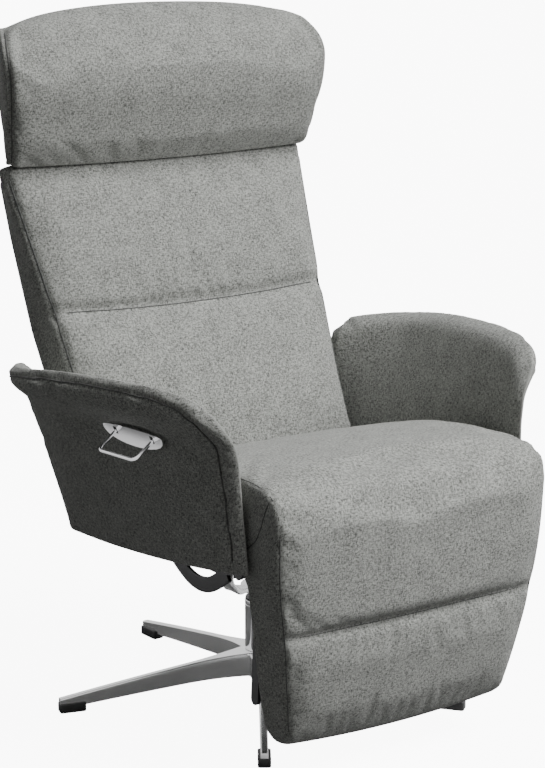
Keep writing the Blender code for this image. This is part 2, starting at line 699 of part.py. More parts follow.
def make_release_lever():
    """Polished plate on the right arm and the wire loop that is pulled up to let the chair move."""
    frame = lever_frame()
    half, steps = PLATE_LENGTH / 2, 16
    low, high = slot_span()
    slot_half = LOOP_RADIUS + SLOT_PLAY
    upper = (PLATE_HEIGHT - (high - low)) * 0.30
    outline = []
    for k in range(steps):
        angle = pi * k / steps
        outline.append((half * cos(angle), high + upper * sin(angle)))
    for k in range(steps):
        angle = pi * k / steps
        outline.append((-half * cos(angle), high - (PLATE_HEIGHT - upper) * sin(angle) ** 0.8))
    slots = []
    for side in (-1, 1):
        x = side * LOOP_WIDTH / 2
        slots.append([(x - slot_half, low), (x + slot_half, low),
                      (x + slot_half, high), (x - slot_half, high)])
    lift = Matrix.Translation((0, 0, PLATE_THICKNESS / 2 + PLATE_STANDOFF))
    plate("release_plate", outline, PLATE_THICKNESS, None, "chrome", SEAT, slots,
          matrix=frame @ lift)
    droop = Matrix.Rotation(LOOP_DROOP, 4, "X")
    corner, turns = 0.010, 4
    half_w = LOOP_WIDTH / 2
    points = []
    for cx, cy, start in ((half_w - corner, LOOP_REACH - corner, 0),
                          (-half_w + corner, LOOP_REACH - corner, pi / 2),
                          (-half_w + corner * 0.3, corner * 0.3, pi),
                          (half_w - corner * 0.3, corner * 0.3, 3 * pi / 2)):
        size = corner if start < pi else corner * 0.3
        for k in range(turns + 1):
            angle = start + pi / 2 * k / turns
            flat = Vector((cx + size * cos(angle), 0, cy + size * sin(angle)))
            points.append(frame @ (Matrix.Translation((0, 0, -PIVOT_INSET)) @ (droop @ flat)))
    wire("release_lever", points, LOOP_RADIUS, "chrome", LEVER, closed=True, resolution=2)


# --- footrest -----------------------------------------------------------------------------------
def footrest_rear(z):
    """Rear face of the footrest board at a height."""
    return FOOTREST_PIVOT[0] - 0.051 + (FOOTREST_PIVOT[1] - 0.010 - z) * tan(FOOTREST_RAKE)


def footrest_front(z):
    """Front face of the pad: its depth shrinks towards the bottom."""
    share = (z - FOOTREST_BOTTOM) / (FOOTREST_TOP - FOOTREST_BOTTOM)
    depth = FOOTREST_BOTTOM_DEPTH + (FOOTREST_TOP_DEPTH - FOOTREST_BOTTOM_DEPTH) * share ** 0.8
    return footrest_rear(z) - depth


def footrest_half_width(z):
    share = (z - FOOTREST_BOTTOM) / (FOOTREST_TOP - FOOTREST_BOTTOM)
    span = FOOTREST_TOP_HALF_WIDTH - FOOTREST_BOTTOM_HALF_WIDTH
    return FOOTREST_BOTTOM_HALF_WIDTH + span * max(0.0, share) ** 0.8


def make_footrest():
    low, high = FOOTREST_BOTTOM, FOOTREST_TOP
    span = high - low
    heights = [low + span * t for t in (0.09, 0.35, 0.6, 0.85, 1.0)]
    back = BOARD_THICKNESS + GAP
    outline = [(footrest_rear(z) - back, z) for z in (high, high - span / 2, low + 0.02)]
    outline.append((footrest_rear(low) - back - 0.008, low))
    outline.append((footrest_front(low) + 0.012, low))
    outline += [(footrest_front(z), z) for z in heights]
    outline = outline[::-1]
    halves = [footrest_half_width(z) for _, z in outline]
    cushion("footrest_pad", outline, halves, 0.014, "grey_wool", FOOTREST)

    board_low, board_high = low + 0.014, high - 0.004
    rows = []
    for z in (board_low, board_high):
        rows += [(z, footrest_rear(z) - BOARD_THICKNESS, footrest_rear(z))]

    def board(made):
        rings = []
        for z, front, rear in rows:
            half = footrest_half_width(z) - 0.012
            rings.append([(-half, front, z), (half, front, z), (half, rear, z), (-half, rear, z)])
        loft_into(made, rings)
    add_object("footrest_board", mesh_from("footrest_board", board), "plywood", FOOTREST)

    knee = [(SEAT_FRONT - GAP, SEAT_BOTTOM + 0.008), (SEAT_FRONT - GAP, KNEE_TOP),
            (KNEE_FRONT + 0.020, KNEE_TOP), (KNEE_FRONT + 0.006, KNEE_TOP - 0.013),
            (KNEE_FRONT, KNEE_TOP - 0.033),
            (KNEE_FRONT, SEAT_BOTTOM + 0.030), (footrest_front(high) + 0.001, high + GAP),
            (footrest_rear(high) - back, high + GAP),
            (footrest_rear(high) - back, SEAT_BOTTOM - 0.01),
            (SEAT_FRONT - 0.030, SEAT_BOTTOM + 0.008)]
    cushion("knee_pad", knee, [SEAT_HALF_WIDTH - 0.001] * len(knee), 0.010, "grey_wool",
            FOOTREST)


def lever_ends():
    """Where the push rods meet the two levers at rest, so that both swing evenly about upright."""
    y, z = BACK_PIVOT
    half = BACK_SWING / 2
    back_end = (y + BACK_LEVER * sin(half), z - BACK_LEVER * cos(half))
    short = BACK_LEVER * sin(half) / sin(FOOTREST_SWING / 2)
    y, z = FOOTREST_PIVOT
    half = FOOTREST_SWING / 2
    foot_end = (y + short * sin(half), z - short * cos(half))
    return back_end, foot_end


def linkage_plane():
    """Middle plane of the footrest arms and back uprights, inside the seat rails."""
    return RAIL_HALF_SPAN - BAR_THICKNESS - SIDE_PLAY


def make_footrest_arms():
    _, foot_end = lever_ends()
    half = 0.009
    behind = half + GAP
    path = [foot_end, FOOTREST_PIVOT]
    path += [(footrest_rear(z) + behind, z) for z in (0.270, 0.120)]
    eye = circle_outline(FOOTREST_PIVOT, PIVOT_TUBE_RADIUS + EYE_WALL)
    hole = circle_outline(FOOTREST_PIVOT, PIVOT_TUBE_RADIUS + RUNNING)
    for side, word in ((-1, "right"), (1, "left")):
        place = (side * linkage_plane(), 0, 0)
        name = f"footrest_arm_{word}"
        bar = plate(name, ribbon_outline(path, half), BAR_THICKNESS, place, "black_steel", FOOTREST)
        add_eye(bar, name, eye, hole, place)


def add_eye(bar, name, eye, hole, place):
    """Weld a round eye to a flat bar and bore it."""
    bar_mesh = as_mesh(bar, name)
    disc = plate(name + "_eye", eye, BAR_THICKNESS, place, "black_steel", None)
    boolean(bar_mesh, as_cutter(as_mesh(disc, name + "_eye")), "UNION")
    bore(bar_mesh, name + "_hole", hole, place)


def bore(item, name, hole, place):
    """Cut a hole straight through a flat bar."""
    drill = plate(name, hole, BAR_THICKNESS * 3, place, "black_steel", None)
    boolean(item, as_cutter(as_mesh(drill, name)), "DIFFERENCE")


def as_mesh(item, name):
    """Replace a curve object by a welded mesh object at the same place."""
    bpy.context.view_layer.update()
    depsgraph = bpy.context.evaluated_depsgraph_get()
    mesh = bpy.data.meshes.new_from_object(item.evaluated_get(depsgraph))
    made = bmesh.new()
    made.from_mesh(mesh)
    bmesh.ops.remove_doubles(made, verts=made.verts, dist=0.00001)
    bmesh.ops.recalc_face_normals(made, faces=made.faces)
    made.to_mesh(mesh)
    made.free()
    parent, world = item.parent, item.matrix_world.copy()
    material = item.data.materials[0].name
    bpy.data.objects.remove(item, do_unlink=True)
    mesh.materials.clear()
    return add_object(name, mesh, material, parent, world)


def make_push_rods():
    """Flat rods that carry the back's swing to the footrest; the rear eye rides on a tube."""
    back_end, foot_end = lever_ends()
    plane = linkage_plane() - BAR_THICKNESS - SIDE_PLAY + 0.001
    hole = circle_outline(back_end, TIE_ROD_RADIUS + OPEN_PIVOT)
    eye = circle_outline(back_end, TIE_ROD_RADIUS + OPEN_PIVOT + 0.005)
    for side, word in ((-1, "right"), (1, "left")):
        place = (side * plane, 0, 0)
        name = f"push_rod_{word}"
        bar = plate(name, ribbon_outline([foot_end, back_end], 0.008), BAR_THICKNESS - 0.001,
                    place, "black_steel", RODS)
        add_eye(bar, name, eye, hole, place)


def make_gas_spring():
    """Locking gas spring under the seat: its rod bears on the tube between the back's levers."""
    back_end, _ = lever_ends()
    height = back_end[1]
    front = CROSS_TUBE_FRONT
    low, high = height - GAS_BODY_RADIUS, CROSS_TUBE_HEIGHT - CROSS_TUBE_RADIUS - GAP
    half = GAS_ANCHOR_HALF_WIDTH
    outline = [(-half, low), (half, low), (half, high), (-half, high)]
    plate("gas_spring_anchor", outline, BAR_THICKNESS, (0, front, 0), "black_steel", SEAT,
          plane="Y")
    body = rod("gas_spring_body", GAS_BODY_RADIUS, (0, front + BAR_THICKNESS / 2 + GAP, height),
               (0, GAS_BODY_END, height), "black_steel", SEAT)
    drill = rod("gas_spring_bore", GAS_ROD_RADIUS + RUNNING, (0, GAS_BODY_END - GAS_BORE, height),
                (0, GAS_BODY_END + GAS_BORE, height), "black_steel", None)
    boolean(body, as_cutter(drill), "DIFFERENCE")
    rod("gas_spring_rod", GAS_ROD_RADIUS, (0, GAS_BODY_END - GAS_ROD_INSIDE, height),
        (0, back_end[0] - TIE_ROD_RADIUS - RUNNING, height), "chrome", RODS)


# --- back ---------------------------------------------------------------------------------------
def lean(along, behind):
    """World (y, z) of a point given along the back's slope and behind its frame plane."""
    y, z = BACK_PIVOT
    return (y + along * sin(BACK_LEAN) + behind * cos(BACK_LEAN),
            z + along * cos(BACK_LEAN) - behind * sin(BACK_LEAN))


def back_half_width(along):
    share = min(1.0, max(0.0, along / BACK_LENGTH))
    span = BACK_TOP_HALF_WIDTH - BACK_BOTTOM_HALF_WIDTH
    return BACK_BOTTOM_HALF_WIDTH + span * share ** 1.2


def make_back_frame():
    back_end, _ = lever_ends()
    path = [back_end, BACK_PIVOT, lean(0.30, 0), lean(BACK_LENGTH - 0.02, 0),
            lean(BACK_LENGTH + 0.010, 0.002), HEAD_PIVOT]
    eye = circle_outline(BACK_PIVOT, PIVOT_TUBE_RADIUS + EYE_WALL)
    hole = circle_outline(BACK_PIVOT, PIVOT_TUBE_RADIUS + RUNNING)
    head_hole = circle_outline(HEAD_PIVOT, HEAD_PIN_RADIUS + RUNNING)
    inside = linkage_plane() - BAR_THICKNESS / 2 - GAP
    for side, word in ((-1, "right"), (1, "left")):
        place = (side * linkage_plane(), 0, 0)
        name = f"back_upright_{word}"
        bar = plate(name, ribbon_outline(path, UPRIGHT_HALF_DEPTH), BAR_THICKNESS, place,
                    "black_steel", BACK)
        add_eye(bar, name, eye, hole, place)
        bore(bpy.data.objects[name], f"head_hole_{word}", head_hole, place)
    tubes = (("back_lever_tube", TIE_ROD_RADIUS, back_end),
             ("back_tube_lower", CROSS_TUBE_RADIUS, lean(0.045, 0)),
             ("back_tube_upper", CROSS_TUBE_RADIUS, lean(BACK_LENGTH - 0.045, 0)))
    for name, radius, (y, z) in tubes:
        rod(name, radius, (-inside, y, z), (inside, y, z), "black_steel", BACK, 16)


def make_back_springs():
    half = linkage_plane() - BAR_THICKNESS / 2 - SPRING_WIRE - GAP
    first, last = 0.13, BACK_LENGTH - 0.13
    for k in range(BACK_SPRING_COUNT):
        along = first + (last - first) * k / (BACK_SPRING_COUNT - 1)
        sinuous_spring(f"back_spring_{k + 1}", half,
                       lambda x, swing, a=along: (x, *lean(a + swing, 0)), "spring_steel", BACK)


def make_back_cushion():
    front, rear = -BACK_FACE_DEPTH, -BACK_FACE_DEPTH + CUSHION_THICKNESS
    soft = EDGE_RADIUS * 0.8
    low, high = 0.014, BACK_LENGTH
    flat = [(low, front + soft), (low, rear - 0.004), (low + 0.004, rear), (high / 2, rear),
            (high - soft, rear), (high - soft * 0.3, rear - soft * 0.3), (high, rear - soft),
            (high, front + soft), (high - soft * 0.3, front + soft * 0.3), (high - soft, front),
            (high * 0.75, front), (high / 2, front), (high * 0.25, front), (low + soft, front),
            (low + soft * 0.3, front + soft * 0.3)]
    outline = [lean(a, b) for a, b in flat]
    halves = []
    for along, behind in flat:
        half = back_half_width(along)
        share = (behind - front) / CUSHION_THICKNESS
        halves.append(half - 0.5 * share * max(0.0, half - SHELL_HALF_WIDTH))
    cushion("back_cushion", outline, halves, 0.014, "grey_wool", BACK)


def make_back_shell():
    """Padded rear panel behind the frame."""
    low, high = 0.016, BACK_LENGTH - 0.004
    near, far = SHELL_SETBACK, SHELL_SETBACK + SHELL_THICKNESS
    flat = [(low, near), (low, far), (high / 2, far), (high, far), (high, near), (high / 2, near)]
    outline = [lean(a, b) for a, b in flat]
    cushion("back_shell", outline, [SHELL_HALF_WIDTH] * len(outline), 0.004, "grey_wool", BACK)


# --- headrest -----------------------------------------------------------------------------------
def head_outline():
    """Side outline of the headrest cushion, counterclockwise from its lower rear corner."""
    low, high, rear = HEAD_BOTTOM, HEAD_TOP, HEAD_REAR
    tall = high - low
    front = rear - HEAD_DEPTH
    return [(rear, low), (rear, low + tall * 0.5), (rear - 0.001, low + tall * 0.90),
            (rear - 0.014, high - 0.003), (rear - 0.034, high), (rear - 0.060, high - 0.010),
            (front + 0.031, high - 0.040), (front + 0.009, high - 0.064),
            (front, low + tall * 0.61), (front + 0.003, low + tall * 0.40),
            (front + 0.018, low + tall * 0.18), (front + 0.034, HEAD_LIP + 0.006),
            (front + 0.045, HEAD_LIP)]


def head_half_width(y, z):
    """Half width of the headrest: full at its face, narrower behind, below and at the top."""
    up = (z - HEAD_BOTTOM) / (HEAD_TOP - HEAD_BOTTOM)
    back = max(0.0, (y - HEAD_REAR + HEAD_DEPTH) / HEAD_DEPTH)
    half = HEAD_HALF_WIDTH - (HEAD_HALF_WIDTH - HEAD_REAR_HALF_WIDTH) * back ** 1.5
    half -= HEAD_FOOT_TAPER * max(0.0, 1 - up / 0.6)
    return half - HEAD_TOP_TAPER * max(0.0, up - 0.75) / 0.25


def make_headrest():
    low, high = HEAD_BOTTOM, HEAD_TOP
    tall = high - low
    rear = HEAD_REAR
    outline = head_outline()
    halves = [head_half_width(y, z) for y, z in outline]
    cushion("headrest_cushion", outline, halves, 0.016, "grey_wool", HEAD)

    board_front, board_rear = rear + GAP, rear + BOARD_THICKNESS
    outline = [(board_front, low + 0.008), (board_rear, low + 0.008), (board_rear, high - 0.040),
               (board_front, high - 0.040)]
    cushion("headrest_board", outline, [HEAD_REAR_HALF_WIDTH - 0.020] * 4, 0.002, "plywood", HEAD)

    half = 0.007
    behind = board_rear + GAP + half
    path = [HEAD_PIVOT, (behind - 0.006, HEAD_PIVOT[1]), (behind, HEAD_PIVOT[1] + 0.010),
            (behind, low + tall * 0.45)]
    plane = linkage_plane() - BAR_THICKNESS - SIDE_PLAY + 0.001
    eye = circle_outline(HEAD_PIVOT, HEAD_PIN_RADIUS + 0.004)
    hole = circle_outline(HEAD_PIVOT, HEAD_PIN_RADIUS + GAP)
    for side, word in ((-1, "right"), (1, "left")):
        place = (side * plane, 0, 0)
        name = f"headrest_arm_{word}"
        bar = plate(name, ribbon_outline(path, half), BAR_THICKNESS - 0.001, place, "black_steel",
                    HEAD)
        add_eye(bar, name, eye, hole, place)
    near = behind + half + GAP
    far = near + HEAD_SHELL_THICKNESS
    outline = [(near, low + 0.014), (far, low + 0.014), (far, high - 0.055), (near, high - 0.055)]
    cushion("headrest_shell", outline, [HEAD_SHELL_HALF_WIDTH] * 4, 0.003, "grey_wool", HEAD)
    reach = linkage_plane() + BAR_THICKNESS / 2 + 0.002
    rod("headrest_pin", HEAD_PIN_RADIUS, (-reach, *HEAD_PIVOT), (reach, *HEAD_PIVOT),
        "black_steel", HEAD, 16)


# --- the whole chair ----------------------------------------------------------------------------
clear_scene()
CHAIR = new_collection("recliner_armchair")
CUTTERS = new_collection("cutters")
MATERIALS = make_materials()
SEAT = add_empty("swivel_axis", (0, 0, YOKE_HUB_BOTTOM))
BACK = add_empty("back_recline_axis", (0, *BACK_PIVOT))
FOOTREST = add_empty("footrest_lift_axis", (0, *FOOTREST_PIVOT))
HEAD = add_empty("headrest_tilt_axis", (0, *HEAD_PIVOT))
RODS = add_empty("push_rod_slide", (0, *lever_ends()[0]))
LEVER = add_empty("release_lever_axis", lever_frame() @ Vector((0, 0, -PIVOT_INSET)))

make_star_base()
make_glides()
make_column()
make_yoke()
make_support_bars()
make_seat_frame()
make_seat_springs()
make_seat_cushion()
make_arms()
make_arm_brackets()
make_release_lever()
make_footrest()
make_footrest_arms()
make_push_rods()
make_gas_spring()
make_back_frame()
make_back_springs()
make_back_cushion()
make_back_shell()
make_headrest()
bpy.context.view_layer.update()
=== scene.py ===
from math import cos, pi, radians, sin

import bmesh
import bpy
import numpy as np
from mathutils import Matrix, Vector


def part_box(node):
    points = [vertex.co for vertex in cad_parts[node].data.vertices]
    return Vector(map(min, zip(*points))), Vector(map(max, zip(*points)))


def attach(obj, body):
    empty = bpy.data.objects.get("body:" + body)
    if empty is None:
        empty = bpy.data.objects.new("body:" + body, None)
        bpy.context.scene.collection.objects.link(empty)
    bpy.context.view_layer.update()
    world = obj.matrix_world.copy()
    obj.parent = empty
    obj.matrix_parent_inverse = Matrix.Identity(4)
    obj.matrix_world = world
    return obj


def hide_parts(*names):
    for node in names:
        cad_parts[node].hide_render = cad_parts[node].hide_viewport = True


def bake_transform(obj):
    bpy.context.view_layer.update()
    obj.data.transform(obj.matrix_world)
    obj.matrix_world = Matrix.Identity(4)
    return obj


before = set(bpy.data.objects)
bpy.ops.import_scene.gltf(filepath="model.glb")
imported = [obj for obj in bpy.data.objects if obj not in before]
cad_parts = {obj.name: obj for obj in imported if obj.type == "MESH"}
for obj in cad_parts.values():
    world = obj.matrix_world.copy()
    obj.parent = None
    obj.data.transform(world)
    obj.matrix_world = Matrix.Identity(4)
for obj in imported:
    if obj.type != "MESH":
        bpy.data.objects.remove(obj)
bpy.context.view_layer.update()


# --- studio ---------------------------------------------------------------------------------------
# A pale matt floor that runs out of sight on every side, one broad soft key light from high on the
# front right, a softbox near the head, and a dim sky. The floor throws little light back up.
FLOOR_REACH = 60.0

scene = bpy.context.scene
floor_mesh = bpy.data.meshes.new("studio_floor")
corner = np.array([(-1, -1, 0), (1, -1, 0), (1, 1, 0), (-1, 1, 0)]) * FLOOR_REACH
floor_mesh.from_pydata(corner.tolist(), [], [(0, 1, 2, 3)])
studio_floor = bpy.data.objects.new("studio_floor", floor_mesh)
scene.collection.objects.link(studio_floor)

floor_paint = bpy.data.materials.new("floor_paint")
floor_paint.use_nodes = True
tree = floor_paint.node_tree
shader = tree.nodes["Principled BSDF"]
shader.inputs["Roughness"].default_value = 0.9
shader.inputs["Specular IOR Level"].default_value = 0.1
ray = tree.nodes.new("ShaderNodeLightPath")
tone = tree.nodes.new("ShaderNodeMix")
tone.data_type = "RGBA"
tone.inputs[6].default_value = (0.10, 0.10, 0.10, 1)
tone.inputs[7].default_value = (0.90, 0.90, 0.90, 1)
seen = tree.nodes.new("ShaderNodeMath")
seen.operation = "MAXIMUM"
tree.links.new(ray.outputs["Is Camera Ray"], seen.inputs[0])
tree.links.new(ray.outputs["Is Glossy Ray"], seen.inputs[1])
tree.links.new(seen.outputs[0], tone.inputs[0])
glow = tree.nodes.new("ShaderNodeMix")
glow.data_type = "RGBA"
glow.inputs[6].default_value = (0.0, 0.0, 0.0, 1)
glow.inputs[7].default_value = (1.0, 1.0, 1.0, 1)
shader.inputs["Emission Strength"].default_value = 9.0
tree.links.new(ray.outputs["Is Camera Ray"], glow.inputs[0])
tree.links.new(glow.outputs[2], shader.inputs["Emission Color"])
tree.links.new(tone.outputs[2], shader.inputs["Base Color"])
floor_mesh.materials.append(floor_paint)

sky = bpy.data.worlds.new("dim_sky")
sky.use_nodes = True
tree = sky.node_tree
dim = tree.nodes["Background"]
dim.inputs["Color"].default_value = (1.0, 1.0, 1.0, 1)
dim.inputs["Strength"].default_value = 0.13
bright = tree.nodes.new("ShaderNodeBackground")
bright.inputs["Strength"].default_value = 1.5
ray = tree.nodes.new("ShaderNodeLightPath")
either = tree.nodes.new("ShaderNodeMixShader")
tree.links.new(ray.outputs["Is Glossy Ray"], either.inputs[0])
tree.links.new(dim.outputs[0], either.inputs[1])
tree.links.new(bright.outputs[0], either.inputs[2])
tree.links.new(either.outputs[0], tree.nodes["World Output"].inputs["Surface"])
scene.world = sky


def soft_sun(name, turn, strength, spread):
    """A distant light as wide as `spread` degrees, so that it lights the floor evenly."""
    data = bpy.data.lights.new(name, "SUN")
    data.energy = strength
    data.angle = radians(spread)
    lamp = bpy.data.objects.new(name, data)
    lamp.rotation_euler = [radians(a) for a in turn]
    scene.collection.objects.link(lamp)


soft_sun("key_light", (31.0, 0.0, 38.0), 2.75, 35)

panel = bpy.data.lights.new("head_panel", "AREA")
panel.shape, panel.size, panel.size_y = "RECTANGLE", 1.4, 1.0
panel.energy = 42.0
panel_light = bpy.data.objects.new("head_panel", panel)
panel_light.location = (1.0, -1.7, 1.85)
panel_light.rotation_euler = (radians(66), 0.0, radians(28))
scene.collection.objects.link(panel_light)

lens = bpy.data.cameras.new("camera")
lens.lens = 107.8
lens.sensor_width = 36.0
camera = bpy.data.objects.new("camera", lens)
camera.location = (-2.003, -2.952, 1.345)
camera.rotation_euler = (radians(90 - 13.14), 0.0, radians(-34.45))
scene.collection.objects.link(camera)
scene.camera = camera


# --- star base --------------------------------------------------------------------------------------
# One aluminium casting, ground and polished: a low hub and five blade-shaped legs that narrow and
# fall towards their tips. Their sides are tall at the hub and the top edges are softly rounded.
LEG_COUNT = 5
LEG_TURN = radians(20.6)
LEG_ROOT, LEG_REACH = 0.018, 0.340
HUB_TOP, HUB_RADIUS = 0.070, 0.036
LEG_DEPTH_HUB, LEG_DEPTH_TIP = 0.040, 0.018
LEG_WIDTH_HUB, LEG_WIDTH_TIP = 0.046, 0.012
LEG_TIP_TOP = 0.0235


def rounded_ring(face, corner, side):
    """Plan of a rounded rectangle, as factors of its straight parts and of its corner radius.

    Point k lies at x = a (h - r) + b r and p = c (d - 2 r) + r + e r, for half width h, depth d and
    corner radius r. It starts at the middle of the inner face and goes round by way of +x. Returns
    the factors and the places of the two outer corners and of the two sides' middles."""
    def turn(start):
        angle = np.radians(start + 90 * np.arange(corner + 1) / corner)
        return np.cos(angle), np.sin(angle)
    ramp = np.arange(1, side) / side
    half = np.arange(face) / face
    legs = []
    legs.append((half, 0 * half, 0 * half, -1 + 0 * half))
    b, e = turn(-90)
    legs.append((1 + 0 * b, b, 0 * b, e))
    legs.append((1 + 0 * ramp, 1 + 0 * ramp, ramp, 0 * ramp))
    b, e = turn(0)
    legs.append((1 + 0 * b, b, 1 + 0 * b, e))
    across = 1 - np.arange(1, 2 * face) / face
    legs.append((across, 0 * across, 1 + 0 * across, 1 + 0 * across))
    b, e = turn(90)
    legs.append((-1 + 0 * b, b, 1 + 0 * b, e))
    legs.append((-1 + 0 * ramp, -1 + 0 * ramp, 1 - ramp, 0 * ramp))
    b, e = turn(180)
    legs.append((-1 + 0 * b, b, 0 * b, e))
    back = -1 + np.arange(1, face) / face
    legs.append((back, 0 * back, 0 * back, -1 + 0 * back))
    plan = [np.concatenate([leg[i] for leg in legs]) for i in range(4)]
    right = face + corner + 1 + side // 2 - 1
    outer_right = face + corner + 1 + side - 1 + corner // 2
    count = len(plan[0])
    marks = {"right": right, "left": count - right, "outer_right": outer_right,
             "outer_left": count - outer_right, "outer_middle": count // 2}
    return plan, marks


def banded_grid(inner, outer, half, radius, across, plan):
    """Grid of rounded rectangles: row i spans inner[i] to outer[i] and half[i] each way along
    across[i]; its corners have radius[i], or as much as fits."""
    a, b, c, e = plan
    inner, outer = np.asarray(inner, float), np.asarray(outer, float)
    thick = outer - inner
    depth = np.linalg.norm(thick, axis=1, keepdims=True)
    thick = thick / np.maximum(depth, 1e-9)
    half = np.asarray(half, float).reshape(-1, 1)
    radius = np.minimum(np.asarray(radius, float).reshape(-1, 1), np.minimum(depth / 2, half))
    x = a * (half - radius) + b * radius
    p = c * (depth - 2 * radius) + radius + e * radius
    across = np.broadcast_to(np.asarray(across, float), inner.shape)
    return inner[:, None] + thick[:, None] * p[..., None] + across[:, None] * x[..., None]


def ring_body(name, grid, marks=None, closed=False):
    """Closed mesh from a grid whose rows are rings. An open run's end rings are zipped shut across
    their thickness, or first point to last when no marks are given. UV is in metres, along a ring
    from its outer middle and along the run."""
    rows, count, _ = grid.shape
    i, j = np.meshgrid(np.arange(rows if closed else rows - 1), np.arange(count), indexing="ij")
    ahead, beside = (i + 1) % rows, (j + 1) % count
    quads = np.stack([i * count + j, i * count + beside, ahead * count + beside,
                      ahead * count + j], -1).reshape(-1, 4)
    faces = quads.tolist()
    if not closed:
        for row, flip in ((0, False), (rows - 1, True)):
            base = row * count
            if marks is None:
                caps = [[base + k, base + k + 1, base + count - 2 - k, base + count - 1 - k]
                        for k in range(count // 2 - 1)]
            else:
                reach = count // 2 - marks["right"]
                caps = []
                for mid in (marks["right"], marks["left"]):
                    caps.append([base + mid, base + (mid + 1) % count, base + (mid - 1) % count])
                    caps += [[base + (mid - k) % count, base + (mid + k) % count,
                              base + (mid + k + 1) % count, base + (mid - k - 1) % count]
                             for k in range(1, reach)]
            faces += [cap[::-1] if flip else cap for cap in caps]
    mesh = bpy.data.meshes.new(name)
    mesh.from_pydata(grid.reshape(-1, 3).tolist(), [], faces)
    work = bmesh.new()
    work.from_mesh(mesh)
    bmesh.ops.recalc_face_normals(work, faces=work.faces)
    work.to_mesh(mesh)
    work.free()

    wrapped = np.concatenate([grid, grid[:, :1]], 1)
    girth = np.cumsum(np.linalg.norm(np.diff(wrapped, axis=1), axis=2), 1)
    girth = np.concatenate([np.zeros((rows, 1)), girth], 1)
    girth -= girth[:, count // 2][:, None]
    middle = grid[:, count // 2]
    run = np.concatenate([[0], np.cumsum(np.linalg.norm(np.diff(middle, axis=0), axis=1))])
    loops = np.empty(len(mesh.loops), np.int64)
    mesh.loops.foreach_get("vertex_index", loops)
    row, column = loops // count, loops % count
    starts = np.empty(len(mesh.polygons), np.int64)
    sizes = np.empty(len(mesh.polygons), np.int64)
    mesh.polygons.foreach_get("loop_start", starts)
    mesh.polygons.foreach_get("loop_total", sizes)
    owner = np.repeat(np.arange(len(sizes)), sizes)
    highest = np.zeros(len(sizes), np.int64)
    np.maximum.at(highest, owner, column)
    wraps = (highest[owner] == count - 1) & (column == 0)
    uv = np.stack([girth[row, np.where(wraps, count, column)], run[row]], -1)
    layer = mesh.uv_layers.new(name="UVMap")
    layer.data.foreach_set("uv", uv.astype(np.float32).ravel())
    return add_piece(name, mesh)


def add_piece(name, mesh, smooth_angle=40):
    """A finished mesh as an object at the origin, shaded smooth except over sharp edges."""
    mesh.shade_smooth()
    mesh.set_sharp_from_angle(angle=radians(smooth_angle))
    piece = bpy.data.objects.new(name, mesh)
    scene.collection.objects.link(piece)
    return piece


def lathe_grid(profile, steps):
    """Grid of a closed (radius, height) profile carried round the Z axis: rows are the turn."""
    profile = np.asarray(profile, float)
    angle = 2 * pi * np.arange(steps) / steps
    grid = np.empty((steps, len(profile), 3))
    grid[..., 0] = np.cos(angle)[:, None] * profile[:, 0]
    grid[..., 1] = np.sin(angle)[:, None] * profile[:, 0]
    grid[..., 2] = profile[:, 1]
    return grid


def joined(name, pieces):
    """Several mesh objects made into one."""
    work = bmesh.new()
    for piece in pieces:
        work.from_mesh(piece.data)
    mesh = bpy.data.meshes.new(name)
    work.to_mesh(mesh)
    work.free()
    for piece in pieces:
        bpy.data.objects.remove(piece, do_unlink=True)
    return add_piece(name, mesh)


def turned_about_z(grid, angle):
    """A grid turned about the Z axis."""
    c, s = cos(angle), sin(angle)
    return grid @ np.array([[c, s, 0], [-s, c, 0], [0, 0, 1]])


def star_leg_grid():
    """Rings across a leg, from hub to tip: the top falls as share ** 1.15, the depth shrinks
    evenly, and the width falls with the square of the distance to the waist."""
    share = np.concatenate([np.linspace(0, 0.32, 22), np.linspace(0.35, 1.0, 20)])
    reach = LEG_ROOT + (LEG_REACH - LEG_ROOT) * share
    width = LEG_WIDTH_TIP + (LEG_WIDTH_HUB - LEG_WIDTH_TIP) * np.maximum(0, 1 - share / 0.34) ** 2
    top = HUB_TOP + (LEG_TIP_TOP - HUB_TOP) * share ** 1.15
    depth = LEG_DEPTH_HUB + (LEG_DEPTH_TIP - LEG_DEPTH_HUB) * share
    zero = 0 * share
    plan, marks = rounded_ring(3, 4, 4)
    grid = banded_grid(np.stack([reach, zero, top - depth], 1), np.stack([reach, zero, top], 1),
                       width / 2, 0.0022 + zero, (0, 1, 0), plan)
    return grid, marks


def hub_profile():
    """The hub's outline: a short drum with a rounded shoulder. The recess for the column is left out."""
    low, r, soft = HUB_TOP - LEG_DEPTH_HUB, HUB_RADIUS, 0.004
    turn = np.linspace(0, pi / 2, 7)
    shoulder = np.stack([r - soft + soft * np.cos(turn), HUB_TOP - soft + soft * np.sin(turn)], 1)
    return [(0.001, low), (r - 0.002, low), (r, low + 0.002), *shoulder, (0.001, HUB_TOP)]


leg_grid, leg_marks = star_leg_grid()
casting = [ring_body(f"leg_{k}", turned_about_z(leg_grid, LEG_TURN + 2 * pi * k / LEG_COUNT),
                     leg_marks) for k in range(LEG_COUNT)]
casting.append(ring_body("hub", lathe_grid(hub_profile(), 72), closed=True))
star_casting = joined("star_casting", casting)


def shader_of(name):
    """A new material and its Principled shader."""
    material = bpy.data.materials.new(name)
    material.use_nodes = True
    return material, material.node_tree, material.node_tree.nodes["Principled BSDF"]


